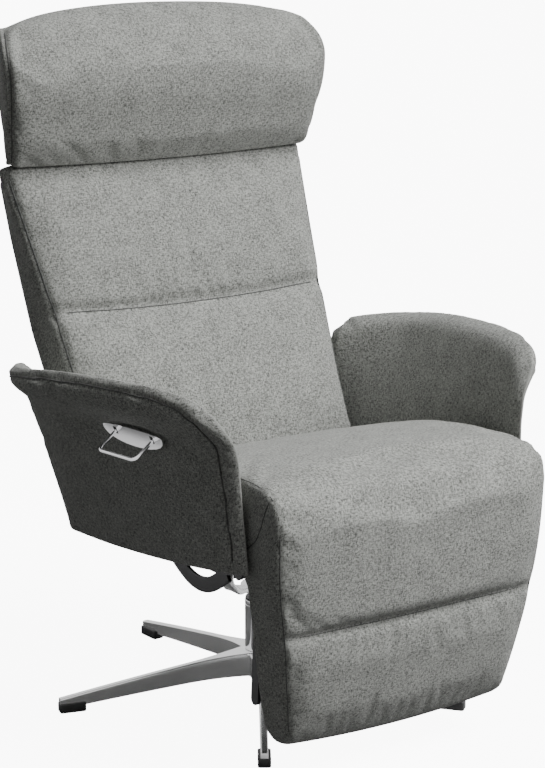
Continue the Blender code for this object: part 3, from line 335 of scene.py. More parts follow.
def handled_metal_group():
    """Shader group: faint cloudy smears and fine grain on a polished metal.

    Roughness is the base value plus the smear times cloudy noise; Height is a very fine grain."""
    group = bpy.data.node_groups.new("handled_metal", "ShaderNodeTree")
    face = group.interface
    for socket, kind in (("Vector", "NodeSocketVector"), ("Roughness", "NodeSocketFloat"),
                         ("Smear", "NodeSocketFloat"), ("Grain Size", "NodeSocketFloat")):
        face.new_socket(socket, in_out="INPUT", socket_type=kind)
    for socket in ("Roughness", "Height"):
        face.new_socket(socket, in_out="OUTPUT", socket_type="NodeSocketFloat")
    nodes, links = group.nodes, group.links
    into, out = nodes.new("NodeGroupInput"), nodes.new("NodeGroupOutput")
    cloud = nodes.new("ShaderNodeTexNoise")
    cloud.inputs["Scale"].default_value = 22.0
    cloud.inputs["Detail"].default_value = 5.0
    grain = nodes.new("ShaderNodeTexNoise")
    grain.inputs["Detail"].default_value = 2.0
    smear = nodes.new("ShaderNodeMath")
    smear.operation = "MULTIPLY_ADD"
    links.new(into.outputs["Vector"], cloud.inputs["Vector"])
    links.new(into.outputs["Vector"], grain.inputs["Vector"])
    links.new(into.outputs["Grain Size"], grain.inputs["Scale"])
    links.new(cloud.outputs["Fac"], smear.inputs[0])
    links.new(into.outputs["Smear"], smear.inputs[1])
    links.new(into.outputs["Roughness"], smear.inputs[2])
    links.new(smear.outputs[0], out.inputs["Roughness"])
    links.new(grain.outputs["Fac"], out.inputs["Height"])
    return group


HANDLED_METAL = handled_metal_group()


def metal(name, colour, roughness, smear, grain, bump, metallic=1.0):
    """A metal or lacquer whose roughness drifts and whose surface has a fine grain."""
    material, tree, shader = shader_of(name)
    shader.inputs["Base Color"].default_value = (*colour, 1)
    shader.inputs["Metallic"].default_value = metallic
    place = tree.nodes.new("ShaderNodeTexCoord")
    wear = tree.nodes.new("ShaderNodeGroup")
    wear.node_tree = HANDLED_METAL
    wear.inputs["Roughness"].default_value = roughness
    wear.inputs["Smear"].default_value = smear
    wear.inputs["Grain Size"].default_value = grain
    relief = tree.nodes.new("ShaderNodeBump")
    relief.inputs["Strength"].default_value = bump
    relief.inputs["Distance"].default_value = 0.0006
    tree.links.new(place.outputs["Object"], wear.inputs["Vector"])
    tree.links.new(wear.outputs["Roughness"], shader.inputs["Roughness"])
    tree.links.new(wear.outputs["Height"], relief.inputs["Height"])
    tree.links.new(relief.outputs["Normal"], shader.inputs["Normal"])
    return material


polished_casting = metal("polished_casting", (0.80, 0.80, 0.80), 0.14, 0.16, 900, 0.06)
star_casting.data.materials.append(polished_casting)
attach(star_casting, "base")
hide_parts("star_base")


# --- glides -----------------------------------------------------------------------------------------
# Five injection-moulded black shoes pushed on the leg tips from below. Each stands a little wider
# than the leg and has rounded edges all round. The slot that the leg's blade drops into is left
# out: the shoe is solid and the leg's tip runs into it.
SHOE_LENGTH, SHOE_WIDTH, SHOE_HEIGHT = 0.043, 0.0205, 0.0155
SHOE_EDGE = 0.0032


def shoe_grid():
    """Rings up the shoe: the plan is a rounded rectangle drawn in by a quarter circle at both
    ends, so that every edge is rounded."""
    turn = np.linspace(0, pi / 2, 5)
    inset = SHOE_EDGE * 0.6 * (1 - np.sin(turn))
    rise = SHOE_EDGE * 0.6 * (1 - np.cos(turn))
    height = np.concatenate([rise, SHOE_HEIGHT - rise[::-1]])
    inset = np.concatenate([inset, inset[::-1]])
    middle = LEG_REACH - SHOE_LENGTH / 2 + 0.001
    zero = 0 * height
    plan, marks = rounded_ring(4, 5, 4)
    inner = np.stack([middle - SHOE_LENGTH / 2 + inset, zero, height], 1)
    outer = np.stack([middle + SHOE_LENGTH / 2 - inset, zero, height], 1)
    return banded_grid(inner, outer, SHOE_WIDTH / 2 - inset, SHOE_EDGE + zero, (0, 1, 0), plan), marks


def moulded_plastic(name, colour, roughness):
    """Fine moulded texture with a slight drift of gloss."""
    return metal(name, colour, roughness, 0.12, 1500, 0.25, metallic=0.0)


shoe, shoe_marks = shoe_grid()
shoes = [ring_body(f"shoe_{k}", turned_about_z(shoe, LEG_TURN + 2 * pi * k / LEG_COUNT), shoe_marks)
         for k in range(LEG_COUNT)]
glide_shoes = joined("glide_shoes", shoes)
glide_shoes.data.materials.append(moulded_plastic("shoe_plastic", (0.018, 0.018, 0.019), 0.42))
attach(glide_shoes, "base")
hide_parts(*[f"glide_{k}" for k in range(1, 6)])


# --- column and spindle -----------------------------------------------------------------------------
# A drawn steel tube, chromed bright, stands in the casting. A nylon bush with a flange is pressed
# in its top, and the seat's spindle turns in the bush. The tube's top edge is broken with a radius.
low_corner, high_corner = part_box("column_tube")
tube_radius, tube_wall = high_corner.x, 0.0025
tube_low, tube_top = low_corner.z, high_corner.z


def tube_profile():
    """A tube's wall with both top edges rounded and a shallow groove under the rim."""
    r, w, top = tube_radius, tube_wall, tube_top
    turn = np.linspace(0, pi / 2, 6)
    rim = np.stack([r - 0.001 + 0.001 * np.cos(turn), top - 0.001 + 0.001 * np.sin(turn)], 1)
    groove = [(r, top - 0.0085), (r - 0.0007, top - 0.0080), (r - 0.0007, top - 0.0068),
              (r, top - 0.0063)]
    return [(r - w, tube_low), (r, tube_low), (r, top - 0.06), *groove, *rim, (r - w, top)]


column_sleeve = ring_body("column_sleeve", lathe_grid(tube_profile(), 96), closed=True)
bright_chrome = metal("bright_chrome", (0.86, 0.86, 0.87), 0.05, 0.08, 1200, 0.02)
column_sleeve.data.materials.append(bright_chrome)
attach(column_sleeve, "base")
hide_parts("column_tube")


def finish(material, *names):
    """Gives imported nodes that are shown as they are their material."""
    for name in names:
        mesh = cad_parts[name].data
        mesh.materials.clear()
        mesh.materials.append(material)


finish(moulded_plastic("bush_nylon", (0.05, 0.05, 0.052), 0.35), "column_bush")
ground_steel = metal("ground_steel", (0.42, 0.42, 0.43), 0.22, 0.14, 1500, 0.05)
finish(ground_steel, "spindle")


# --- yoke -------------------------------------------------------------------------------------------
# A polished aluminium casting on the spindle's top: a round boss and two flat arms that run out and
# forward and turn up to the front cross tube. A black steel rod ties the two arms together.
YOKE_LOW, YOKE_BOSS_HEIGHT, YOKE_BOSS_RADIUS = 0.1655, 0.016, 0.034
YOKE_SPAN, YOKE_FORWARD = 0.150, 0.120
YOKE_WIDTH, YOKE_THICKNESS, YOKE_TAPER = 0.040, 0.010, 0.30
YOKE_BENDS = ((0.35, 0.36, 0.018), (0.68, 0.72, 0.040), (0.88, 0.94, 0.054),
              (0.973, 1.00, 0.068), (1.00, 1.04, 0.090))
YOKE_TOP = (-0.130, 0.3117)


def spline(points, count):
    """Points spaced evenly along a smooth curve through the given ones: a Catmull-Rom spline over
    their chord lengths, worked out for all samples at once."""
    points = np.asarray(points, float)
    chord = np.concatenate([[0], np.cumsum(np.linalg.norm(np.diff(points, axis=0), axis=1))])
    slope = np.gradient(points, chord, axis=0, edge_order=1)

    def at(place):
        i = np.clip(np.searchsorted(chord, place, side="right") - 1, 0, len(chord) - 2)
        step = (chord[i + 1] - chord[i])[:, None]
        t = (place - chord[i])[:, None] / step
        return ((2 * t ** 3 - 3 * t ** 2 + 1) * points[i] + (t ** 3 - 2 * t ** 2 + t) * step * slope[i]
                + (3 * t ** 2 - 2 * t ** 3) * points[i + 1] + (t ** 3 - t ** 2) * step * slope[i + 1])
    fine = at(np.linspace(0, chord[-1], 40 * len(points)))
    length = np.concatenate([[0], np.cumsum(np.linalg.norm(np.diff(fine, axis=0), axis=1))])
    even = np.interp(np.linspace(0, length[-1], count), length, np.linspace(0, chord[-1], len(fine)))
    return at(even)


def unit(vectors):
    """Each vector of an array at length one."""
    return vectors / np.maximum(np.linalg.norm(vectors, axis=-1, keepdims=True), 1e-9)


def yoke_arm(side):
    """A flat bar along the arm's curve. Its width turns from lying across the slope at the boss to
    lying fore and aft at the top, square to the curve throughout."""
    low = YOKE_LOW + YOKE_BOSS_HEIGHT / 2
    bends = [(side * YOKE_SPAN * out, -YOKE_FORWARD * ahead, low + rise)
             for out, ahead, rise in YOKE_BENDS]
    path = spline([(0, 0, low), *bends, (side * YOKE_SPAN, *YOKE_TOP)], 44)
    share = np.linspace(0, 1, len(path))[:, None]
    ahead = unit(np.gradient(path, axis=0))
    settle = np.clip((share - 0.45) / 0.2, 0, 1)
    wide = np.array([-side * 0.5, -0.8, 0]) * (1 - settle) + np.array([0, -1.0, 0]) * settle
    wide = unit(wide - ahead * np.sum(wide * ahead, 1, keepdims=True))
    thick = np.cross(ahead, wide) * YOKE_THICKNESS / 2
    half = YOKE_WIDTH / 2 * (1 - YOKE_TAPER * share)
    plan, marks = rounded_ring(4, 4, 4)
    grid = banded_grid(path - thick, path + thick, half, 0.0028 + 0 * half, wide, plan)
    return ring_body("yoke_arm", grid, marks)


def boss_profile():
    """The boss's outline: it widens upwards and both its edges are rounded."""
    low, high, r = YOKE_LOW, YOKE_LOW + YOKE_BOSS_HEIGHT, YOKE_BOSS_RADIUS
    turn = np.linspace(0, pi / 2, 6)
    top = np.stack([r - 0.003 + 0.003 * np.cos(turn), high - 0.003 + 0.003 * np.sin(turn)], 1)
    return [(0.001, low), (r * 0.8 - 0.002, low), (r * 0.8, low + 0.002), *top, (0.001, high)]


yoke_casting = joined("yoke_casting", [yoke_arm(-1), yoke_arm(1), ring_body(
    "boss", lathe_grid(boss_profile(), 64), closed=True)])
yoke_casting.data.materials.append(polished_casting)
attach(yoke_casting, "seat")
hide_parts("yoke")


# --- seat frame and linkage -------------------------------------------------------------------------
# Flat steel bars and tubes, cut, bent, welded and powder-coated black: the side rails with their
# cross tubes, the arms' angles, the levers and rods that tie the footrest to the back.
BAR_HALF_DEPTH, BAR_THICKNESS = 0.0125, 0.006
BAR_PLANE = 0.1583
BAR_SAG = ((-0.142, 0.262), (-0.128, 0.252), (-0.112, 0.242), (-0.090, 0.231), (-0.062, 0.2265), (-0.035, 0.231), (-0.010, 0.242),
           (0.020, 0.260), (0.050, 0.278), (0.088, 0.2992))


def support_bar_grid(side):
    """A flat bar set on edge along a sagging curve in the plane of one yoke arm."""
    path = spline([(side * BAR_PLANE, y, z) for y, z in BAR_SAG], 60)
    ahead = unit(np.gradient(path, axis=0))
    deep = np.cross(ahead, (1.0, 0, 0)) * BAR_HALF_DEPTH
    zero = np.zeros(len(path))
    plan, marks = rounded_ring(2, 4, 6)
    return banded_grid(path - deep, path + deep, BAR_THICKNESS / 2 + zero, 0.0014 + zero,
                       (1, 0, 0), plan), marks


black_coat = metal("black_coat", (0.022, 0.022, 0.024), 0.30, 0.20, 1800, 0.30, metallic=0.0)
for side, word in ((-1, "right"), (1, "left")):
    bar = ring_body(f"curved_bar_{word}", *support_bar_grid(side))
    bar.data.materials.append(black_coat)
    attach(bar, "seat")
    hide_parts(f"support_bar_{word}")

finish(black_coat, "yoke_tie_rod", "seat_rail_left", "seat_rail_right", "footrest_pivot_tube",
       "back_pivot_tube", "cross_tube_front", "cross_tube_rear", "arm_bracket_left",
       "arm_bracket_right", "gas_spring_anchor", "gas_spring_body", "back_upright_left",
       "back_upright_right", "back_lever_tube", "back_tube_lower", "back_tube_upper",
       "footrest_arm_left", "footrest_arm_right", "headrest_arm_left", "headrest_arm_right",
       "headrest_pin", "push_rod_left", "push_rod_right")
finish(bright_chrome, "gas_spring_rod")
finish(metal("oiled_wire", (0.30, 0.30, 0.31), 0.30, 0.20, 1500, 0.10),
       *[f"seat_spring_{k}" for k in range(1, 5)], *[f"back_spring_{k}" for k in range(1, 4)])


# --- seat and footrest cover ------------------------------------------------------------------------
# Moulded foam in one sewn cover of grey melange wool: it runs from the back of the seat over the
# knee edge and down the footrest. The side panels are sewn in with a raised seam, a seam crosses
# the footrest, and below the knee the side tucks in behind the footrest's panel.
SEAT_STATIONS = (
    # (y, z) of the cover's face, (y, z) of its underside, half width
    ((0.064, 0.372), (0.064, 0.350), 0.238), ((0.056, 0.386), (0.056, 0.343), 0.240),
    ((0.000, 0.403), (0.000, 0.340), 0.240), ((-0.100, 0.433), (-0.100, 0.340), 0.240),
    ((-0.200, 0.456), (-0.200, 0.340), 0.240), ((-0.285, 0.4645), (-0.262, 0.342), 0.241),
    ((-0.345, 0.4655), (-0.286, 0.344), 0.244), ((-0.381, 0.460), (-0.297, 0.341), 0.247),
    ((-0.400, 0.447), (-0.304, 0.336), 0.248), ((-0.408, 0.425), (-0.308, 0.329), 0.2475),
    ((-0.408, 0.380), (-0.314, 0.318), 0.2465), ((-0.406, 0.330), (-0.3185, 0.305), 0.245),
    ((-0.403, 0.280), (-0.3165, 0.270), 0.239), ((-0.398, 0.220), (-0.3125, 0.215), 0.2295),
    ((-0.388, 0.160), (-0.3085, 0.155), 0.220), ((-0.377, 0.105), (-0.305, 0.105), 0.210),
    ((-0.367, 0.073), (-0.306, 0.075), 0.2035), ((-0.352, 0.061), (-0.316, 0.062), 0.199))
COVER_EDGE = 0.010
FOOT_SEAM = 0.246                  # height of the seam across the footrest
CLOTH_FRAMES = 20


def run_cloth(piece, held, pressure, cap):
    """Blows a cover up against its held points, and keeps each point within `cap` of its start."""
    count = len(piece.data.vertices)
    before = np.empty(count * 3)
    piece.data.vertices.foreach_get("co", before)
    group = piece.vertex_groups.new(name="held")
    for step in range(0, 11):
        members = np.flatnonzero(np.round(held * 10).astype(int) == step)
        group.add(members.tolist(), step / 10, "REPLACE")
    cloth = piece.modifiers.new("swell", "CLOTH")
    settings = cloth.settings
    settings.quality = 5
    settings.mass = 0.3
    settings.tension_stiffness = settings.compression_stiffness = 12
    settings.shear_stiffness = 4
    settings.bending_stiffness = 0.4
    settings.use_pressure = True
    settings.uniform_pressure_force = pressure
    settings.shrink_min = -0.012
    settings.vertex_group_mass = "held"
    settings.effector_weights.gravity = 0
    cloth.point_cache.frame_start, cloth.point_cache.frame_end = 1, CLOTH_FRAMES
    for step in range(1, CLOTH_FRAMES + 1):
        scene.frame_set(step)
    final = piece.evaluated_get(bpy.context.evaluated_depsgraph_get())
    after = np.empty(count * 3)
    final.data.vertices.foreach_get("co", after)
    piece.modifiers.remove(cloth)
    piece.vertex_groups.remove(group)
    scene.frame_set(1)
    move = (after - before).reshape(-1, 3)
    length = np.linalg.norm(move, axis=1, keepdims=True)
    move *= np.minimum(1, cap / np.maximum(length, 1e-9))
    piece.data.vertices.foreach_set("co", (before + move.ravel()))
    piece.data.update()


def points_of(piece):
    """All vertex places of a mesh object."""
    co = np.empty(len(piece.data.vertices) * 3)
    piece.data.vertices.foreach_get("co", co)
    return co.reshape(-1, 3)


def normals_of(piece):
    """All vertex normals of a mesh object."""
    normal = np.empty(len(piece.data.vertices) * 3)
    piece.data.vertices.foreach_get("normal", normal)
    return normal.reshape(-1, 3)


def subdivided(piece):
    """The piece with one level of subdivision applied; its first vertices keep their order."""
    step = piece.modifiers.new("refine", "SUBSURF")
    step.levels = step.render_levels = 1
    final = piece.evaluated_get(bpy.context.evaluated_depsgraph_get())
    mesh = bpy.data.meshes.new_from_object(final)
    piece.modifiers.remove(step)
    old = piece.data
    piece.data = mesh
    bpy.data.meshes.remove(old)
    mesh.name = piece.name
    return piece


def nearest(points, path):
    """Distance from each point to the nearest point of a path, and that point's place in it, from
    |a|^2 + |b|^2 - 2 a.b over blocks of points."""
    centre = path.mean(0)
    points, path = points - centre, path - centre
    far, which = np.empty(len(points)), np.empty(len(points), int)
    block = max(1, 6_000_000 // len(path))
    for start in range(0, len(points), block):
        part = points[start:start + block]
        square = (part ** 2).sum(1)[:, None] + (path ** 2).sum(1) - 2 * part @ path.T
        nearest_one = square.argmin(1)
        which[start:start + block] = nearest_one
        far[start:start + block] = np.linalg.norm(part - path[nearest_one], axis=1)
    return far, which


def press_seam(piece, path, depth, width, strength=None):
    """Pulls a cover in along a seam: by depth times exp(-(distance / width) squared), and less
    where the seam's own strength along its path is below one."""
    points, normals = points_of(piece), normals_of(piece)
    low, high = path.min(0) - 3 * width, path.max(0) + 3 * width
    near = np.flatnonzero(((points > low) & (points < high)).all(1))
    far, which = nearest(points[near], path)
    pull = depth * np.exp(-(far / width) ** 2)
    if strength is not None:
        pull *= strength[which]
    points[near] -= normals[near] * pull[:, None]
    piece.data.vertices.foreach_set("co", points.ravel())
    piece.data.update()


def swept_grid(path, radius, up, sides=8, closed=False):
    """A round section carried along a path, square to it; `up` sets how the section is turned."""
    if closed:
        ahead = unit(np.roll(path, -1, 0) - np.roll(path, 1, 0))
    else:
        ahead = unit(np.gradient(path, axis=0))
    side = unit(np.cross(ahead, up))
    top = np.cross(side, ahead)
    angle = 2 * pi * np.arange(sides) / sides
    radius = np.broadcast_to(np.asarray(radius, float).reshape(-1, 1, 1), (len(path), 1, 1))
    return path[:, None] + radius * (side[:, None] * np.cos(angle)[None, :, None]
                                     + top[:, None] * np.sin(angle)[None, :, None])


def smoothed(path, passes, closed=False):
    """A path with small jogs evened out by averaging each point with its neighbours."""
    for _ in range(passes):
        before, after = np.roll(path, 1, 0), np.roll(path, -1, 0)
        mean = 0.5 * path + 0.25 * (before + after)
        if not closed:
            mean[0], mean[-1] = path[0], path[-1]
        path = mean
    return path


def seam_cord(name, piece, path, radius, rise, material, closed=False):
    """A thin sewn edge that lies along a path on a cover, its middle `rise` above the cloth. It
    runs into the cloth at open ends."""
    points, normals = points_of(piece), normals_of(piece)
    _, which = nearest(path, points)
    up = smoothed(normals[which], 4, closed)
    line = smoothed(points[which], 6, closed) + up * rise
    size = np.full(len(line), radius)
    if not closed:
        fade = np.minimum(np.arange(len(line)), np.arange(len(line))[::-1]) / 4
        size *= np.clip(fade, 0.3, 1)
        line -= up * (np.clip(1 - fade, 0, 1) * radius * 2)[:, None]
    cord = ring_body(name, swept_grid(line, size, up, 8, closed), closed=closed)
    cord.data.materials.append(material)
    return cord


def melange_group():
    """Shader group: plain-woven melange yarn.

    Along U and across V lie yarns of the given pitch. The colour runs between dark and light by
    streaky noise along each yarn, by clouds some millimetres wide and by broad ones. Height is
    the rounded crown of the yarn on top, which changes from warp to weft in a checker."""
    group = bpy.data.node_groups.new("melange_weave", "ShaderNodeTree")
    face = group.interface
    for socket, kind in (("Vector", "NodeSocketVector"), ("Pitch", "NodeSocketFloat"),
                         ("Dark", "NodeSocketColor"), ("Light", "NodeSocketColor"),
                         ("Contrast", "NodeSocketFloat")):
        face.new_socket(socket, in_out="INPUT", socket_type=kind)
    face.new_socket("Color", in_out="OUTPUT", socket_type="NodeSocketColor")
    face.new_socket("Height", in_out="OUTPUT", socket_type="NodeSocketFloat")
    nodes, links = group.nodes, group.links
    into, out = nodes.new("NodeGroupInput"), nodes.new("NodeGroupOutput")

    def math(kind, first, second=None, third=None):
        node = nodes.new("ShaderNodeMath")
        node.operation = kind
        for k, value in enumerate((first, second, third)):
            if value is None:
                continue
            if isinstance(value, (int, float)):
                node.inputs[k].default_value = value
            else:
                links.new(value, node.inputs[k])
        return node.outputs[0]

    def noise(scale, detail, stretch):
        """Noise on the cloth, drawn out along U and V by the stretch."""
        place = nodes.new("ShaderNodeMapping")
        place.inputs["Scale"].default_value = (scale / stretch[0], scale / stretch[1], scale)
        texture = nodes.new("ShaderNodeTexNoise")
        texture.inputs["Scale"].default_value = 1.0
        texture.inputs["Detail"].default_value = detail
        links.new(into.outputs["Vector"], place.inputs["Vector"])
        links.new(place.outputs["Vector"], texture.inputs["Vector"])
        return texture.outputs["Fac"]

    split = nodes.new("ShaderNodeSeparateXYZ")
    links.new(into.outputs["Vector"], split.inputs[0])
    turn = math("DIVIDE", pi, into.outputs["Pitch"])
    warp = math("SINE", math("MULTIPLY", split.outputs[0], turn))
    weft = math("SINE", math("MULTIPLY", split.outputs[1], turn))
    over = math("GREATER_THAN", math("MULTIPLY", warp, weft), 0.0)
    warp_crown, weft_crown = math("ABSOLUTE", warp), math("ABSOLUTE", weft)
    height = math("ADD", math("MULTIPLY", over, warp_crown),
                  math("MULTIPLY", math("SUBTRACT", 1.0, over), weft_crown))
    streak = math("ADD", math("MULTIPLY", over, noise(900, 2, (1, 4))),
                  math("MULTIPLY", math("SUBTRACT", 1.0, over), noise(900, 2, (4, 1))))
    slub = math("ADD", noise(420, 2, (1, 2.6)), noise(420, 2, (2.6, 1)))
    broad = noise(26, 3, (1, 1))
    mixed = math("MULTIPLY_ADD", streak, 1.4, math("MULTIPLY_ADD", slub, 0.9,
                                                   math("MULTIPLY", broad, 0.30)))
    spread = math("MULTIPLY_ADD", math("SUBTRACT", mixed, 1.75), into.outputs["Contrast"], 0.5)
    clamp = nodes.new("ShaderNodeClamp")
    links.new(spread, clamp.inputs["Value"])
    tone = nodes.new("ShaderNodeMix")
    tone.data_type = "RGBA"
    links.new(clamp.outputs[0], tone.inputs[0])
    links.new(into.outputs["Dark"], tone.inputs[6])
    links.new(into.outputs["Light"], tone.inputs[7])
    links.new(tone.outputs[2], out.inputs["Color"])
    links.new(math("MULTIPLY_ADD", slub, 0.5, math("MULTIPLY", height, 0.5)), out.inputs["Height"])
    return group


MELANGE = melange_group()


def wool(name, dark, light, contrast, bump):
    """Melange wool cloth on the piece's own UV, with the soft sheen of raised fibres."""
    material, tree, shader = shader_of(name)
    shader.inputs["Roughness"].default_value = 0.92
    shader.inputs["Specular IOR Level"].default_value = 0.12
    shader.inputs["Sheen Weight"].default_value = 0.22
    shader.inputs["Sheen Roughness"].default_value = 0.55
    place = tree.nodes.new("ShaderNodeTexCoord")
    cloth = tree.nodes.new("ShaderNodeGroup")
    cloth.node_tree = MELANGE
    cloth.inputs["Pitch"].default_value = 0.0017
    cloth.inputs["Dark"].default_value = (*dark, 1)
    cloth.inputs["Light"].default_value = (*light, 1)
    cloth.inputs["Contrast"].default_value = contrast
    relief = tree.nodes.new("ShaderNodeBump")
    relief.inputs["Strength"].default_value = bump
    relief.inputs["Distance"].default_value = 0.0008
    tree.links.new(place.outputs["UV"], cloth.inputs["Vector"])
    tree.links.new(cloth.outputs["Color"], shader.inputs["Base Color"])
    tree.links.new(cloth.outputs["Height"], relief.inputs["Height"])
    tree.links.new(relief.outputs["Normal"], shader.inputs["Normal"])
    return material


grey_wool = wool("grey_wool_cloth", (0.085, 0.088, 0.081), (0.530, 0.540, 0.508), 1.5, 0.6)
# The seam cords are the same wool as the cover, painted much darker: painted shade of the seam grooves,
# so that each seam shows as a dark line.
seam_wool_painted_shade = wool("grey_wool_seam_painted_shade", (0.040, 0.041, 0.039), (0.150, 0.153, 0.147), 1.3, 0.4)


def seat_cover_grid():
    """Rings across the cover, one every few millimetres along its run. The face is crowned by
    1 - (x / h) squared; the footrest's foot hangs lower in the middle by the same law."""
    table = np.array([[*face, *under, half] for face, under, half in SEAT_STATIONS])
    line = spline(table, 132)
    zero = np.zeros(len(line))
    outer = np.stack([zero, line[:, 0], line[:, 1]], 1)
    inner = np.stack([zero, line[:, 2], line[:, 3]], 1)
    plan, marks = rounded_ring(32, 4, 10)
    grid = banded_grid(inner, outer, line[:, 4], COVER_EDGE + zero, (1, 0, 0), plan)
    share = np.linspace(0, 1, len(line))[:, None]
    bow = 1 - (grid[..., 0] / line[:, 4][:, None]) ** 2
    face = np.clip(plan[2] * 2 - 1, 0, 1)
    out = unit(outer - inner)
    crown = 0.004 + 0.004 * np.exp(-((share - 0.15) / 0.12) ** 2)
    grid += out[:, None] * (crown * bow * face)[..., None]
    foot = np.clip((share - 0.86) / 0.14, 0, 1) ** 2
    grid[..., 2] -= 0.008 * foot * bow
    sag = np.exp(-((grid[..., 2] - FOOT_SEAM) / 0.05) ** 2) * (share > 0.5)
    grid[..., 2] -= 0.004 * sag * bow * face
    return grid, marks, line


cover_grid, cover_marks, cover_line = seat_cover_grid()
seat_and_leg_cover = ring_body("seat_and_leg_cover", cover_grid, cover_marks)
ring = cover_grid.shape[1]
foot_row = int(np.argmin(np.abs(cover_line[:, 1] - FOOT_SEAM) + (cover_line[:, 0] > -0.35)))
face_columns = np.arange(cover_marks["outer_right"], cover_marks["outer_left"] + 1)
held = np.zeros(cover_grid.shape[:2])
held[foot_row] = 1.0
held[:, cover_marks["outer_right"]] = held[:, cover_marks["outer_left"]] = 0.8
held[:4] = held[-3:] = 1.0
held[:, :cover_marks["right"] + 1] = held[:, cover_marks["left"]:] = 1.0
run_cloth(seat_and_leg_cover, held.ravel(), 3.0, 0.008)
subdivided(seat_and_leg_cover)
rest = points_of(seat_and_leg_cover)
cover_seams = []
for word, column in (("right", cover_marks["outer_right"]), ("left", cover_marks["outer_left"])):
    rows = np.arange(24, len(cover_grid) - 2)
    cover_seams.append((f"cover_edge_{word}", rest[rows * ring + column]))
across = rest[foot_row * ring + face_columns]
share = np.linspace(-1, 1, len(across))
press_seam(seat_and_leg_cover, across, 0.0065, 0.010, 0.45 + 0.55 * np.exp(-(share / 0.72) ** 8))
press_seam(seat_and_leg_cover, across, 0.002, 0.0035)
for word, path in cover_seams:
    press_seam(seat_and_leg_cover, path, 0.0016, 0.004)
for side, word in ((-1, "right"), (1, "left")):
    tuck = spline([(side * 0.243, y, z) for y, z in
                   ((-0.384, 0.450), (-0.377, 0.432), (-0.368, 0.409), (-0.349, 0.383),
                    (-0.322, 0.362), (-0.305, 0.352))], 60)
    press_seam(seat_and_leg_cover, tuck, 0.004, 0.006)
    tuck_cord = seam_cord(f"knee_tuck_{word}", seat_and_leg_cover, tuck, 0.0009, 0.0001, seam_wool_painted_shade)
    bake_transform(tuck_cord)
seat_and_leg_cover.data.materials.append(grey_wool)
cords = [seam_cord(word, seat_and_leg_cover, path, 0.0011, 0.0002, seam_wool_painted_shade)
         for word, path in cover_seams]
cords.append(seam_cord("foot_seam", seat_and_leg_cover, across, 0.0009, 0.0001, seam_wool_painted_shade))
for cord in cords:
    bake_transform(cord)
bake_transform(seat_and_leg_cover)
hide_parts("seat_cushion", "knee_pad", "footrest_pad", "footrest_board")


# --- arm wings --------------------------------------------------------------------------------------
# Moulded foam shells in wool, bolted to angles on the seat rails. Each stands almost upright at the
# front and rolls outwards towards the rear. A boxing strip runs over the top and down the front
# edge, and a raised seam joins it to the outer panel. The sitter's right arm has the lever's hollow.
ARM_INNER, ARM_FRONT, ARM_REAR, ARM_TOP = 0.2545, -0.345, 0.192, 0.596
ARM_LOW_FRONT, ARM_LOW_REAR = 0.330, 0.288
ARM_FLARES = (0.021, 0.132)
ARM_THICKNESS, ARM_ROLL = 0.024, 0.022
ARM_TOE = 0.006                    # how far the front edge turns in
ARM_EDGES = {                      # (y, z) along the arm's four edges, from front to rear or up
    "front": ((-0.345, 0.330), (-0.340, 0.370), (-0.333, 0.420), (-0.329, 0.470), (-0.325, 0.520),
              (-0.309, 0.570)),
    "rear": ((0.143, 0.281), (0.167, 0.350), (0.190, 0.420), (0.213, 0.480), (0.225, 0.508),
             (0.226, 0.528)),
    "top": ((-0.309, 0.570), (-0.287, 0.590), (-0.250, 0.601), (-0.180, 0.605), (-0.100, 0.603),
            (0.000, 0.596), (0.080, 0.585), (0.145, 0.571), (0.192, 0.553), (0.226, 0.528)),
    "foot": ((-0.345, 0.330), (-0.250, 0.316), (-0.120, 0.300), (0.010, 0.288), (0.143, 0.281))}
ARM_ROWS, ARM_COLUMNS = 78, 60
ARM_RIM, ARM_FOOT_RIM, ARM_INNER_ROLL = 0.010, 0.010, 0.024
STRIP_WIDTH = 0.024


def arm_flare(y, z):
    """How far the arm leans out at (y, z): at the front by the square of the height above 55 %,
    to the rear by height^1.6, with less of it in the last quarter."""
    along = np.clip((y - ARM_FRONT) / (ARM_REAR - ARM_FRONT), 0, 1)
    low = ARM_LOW_REAR + (ARM_LOW_FRONT - ARM_LOW_REAR) * (1 - along) ** 2
    up = np.clip((z - low) / (ARM_TOP - 0.015 - low), 0, 1.4)
    share = along ** 0.8
    curl = 1 - 0.60 * (np.maximum(0, along - 0.72) / 0.28) ** 2
    return ((1 - share) * ARM_FLARES[0] * np.maximum(0, (up - 0.55) / 0.45) ** 2
            + share * curl * ARM_FLARES[1] * up ** 1.6)


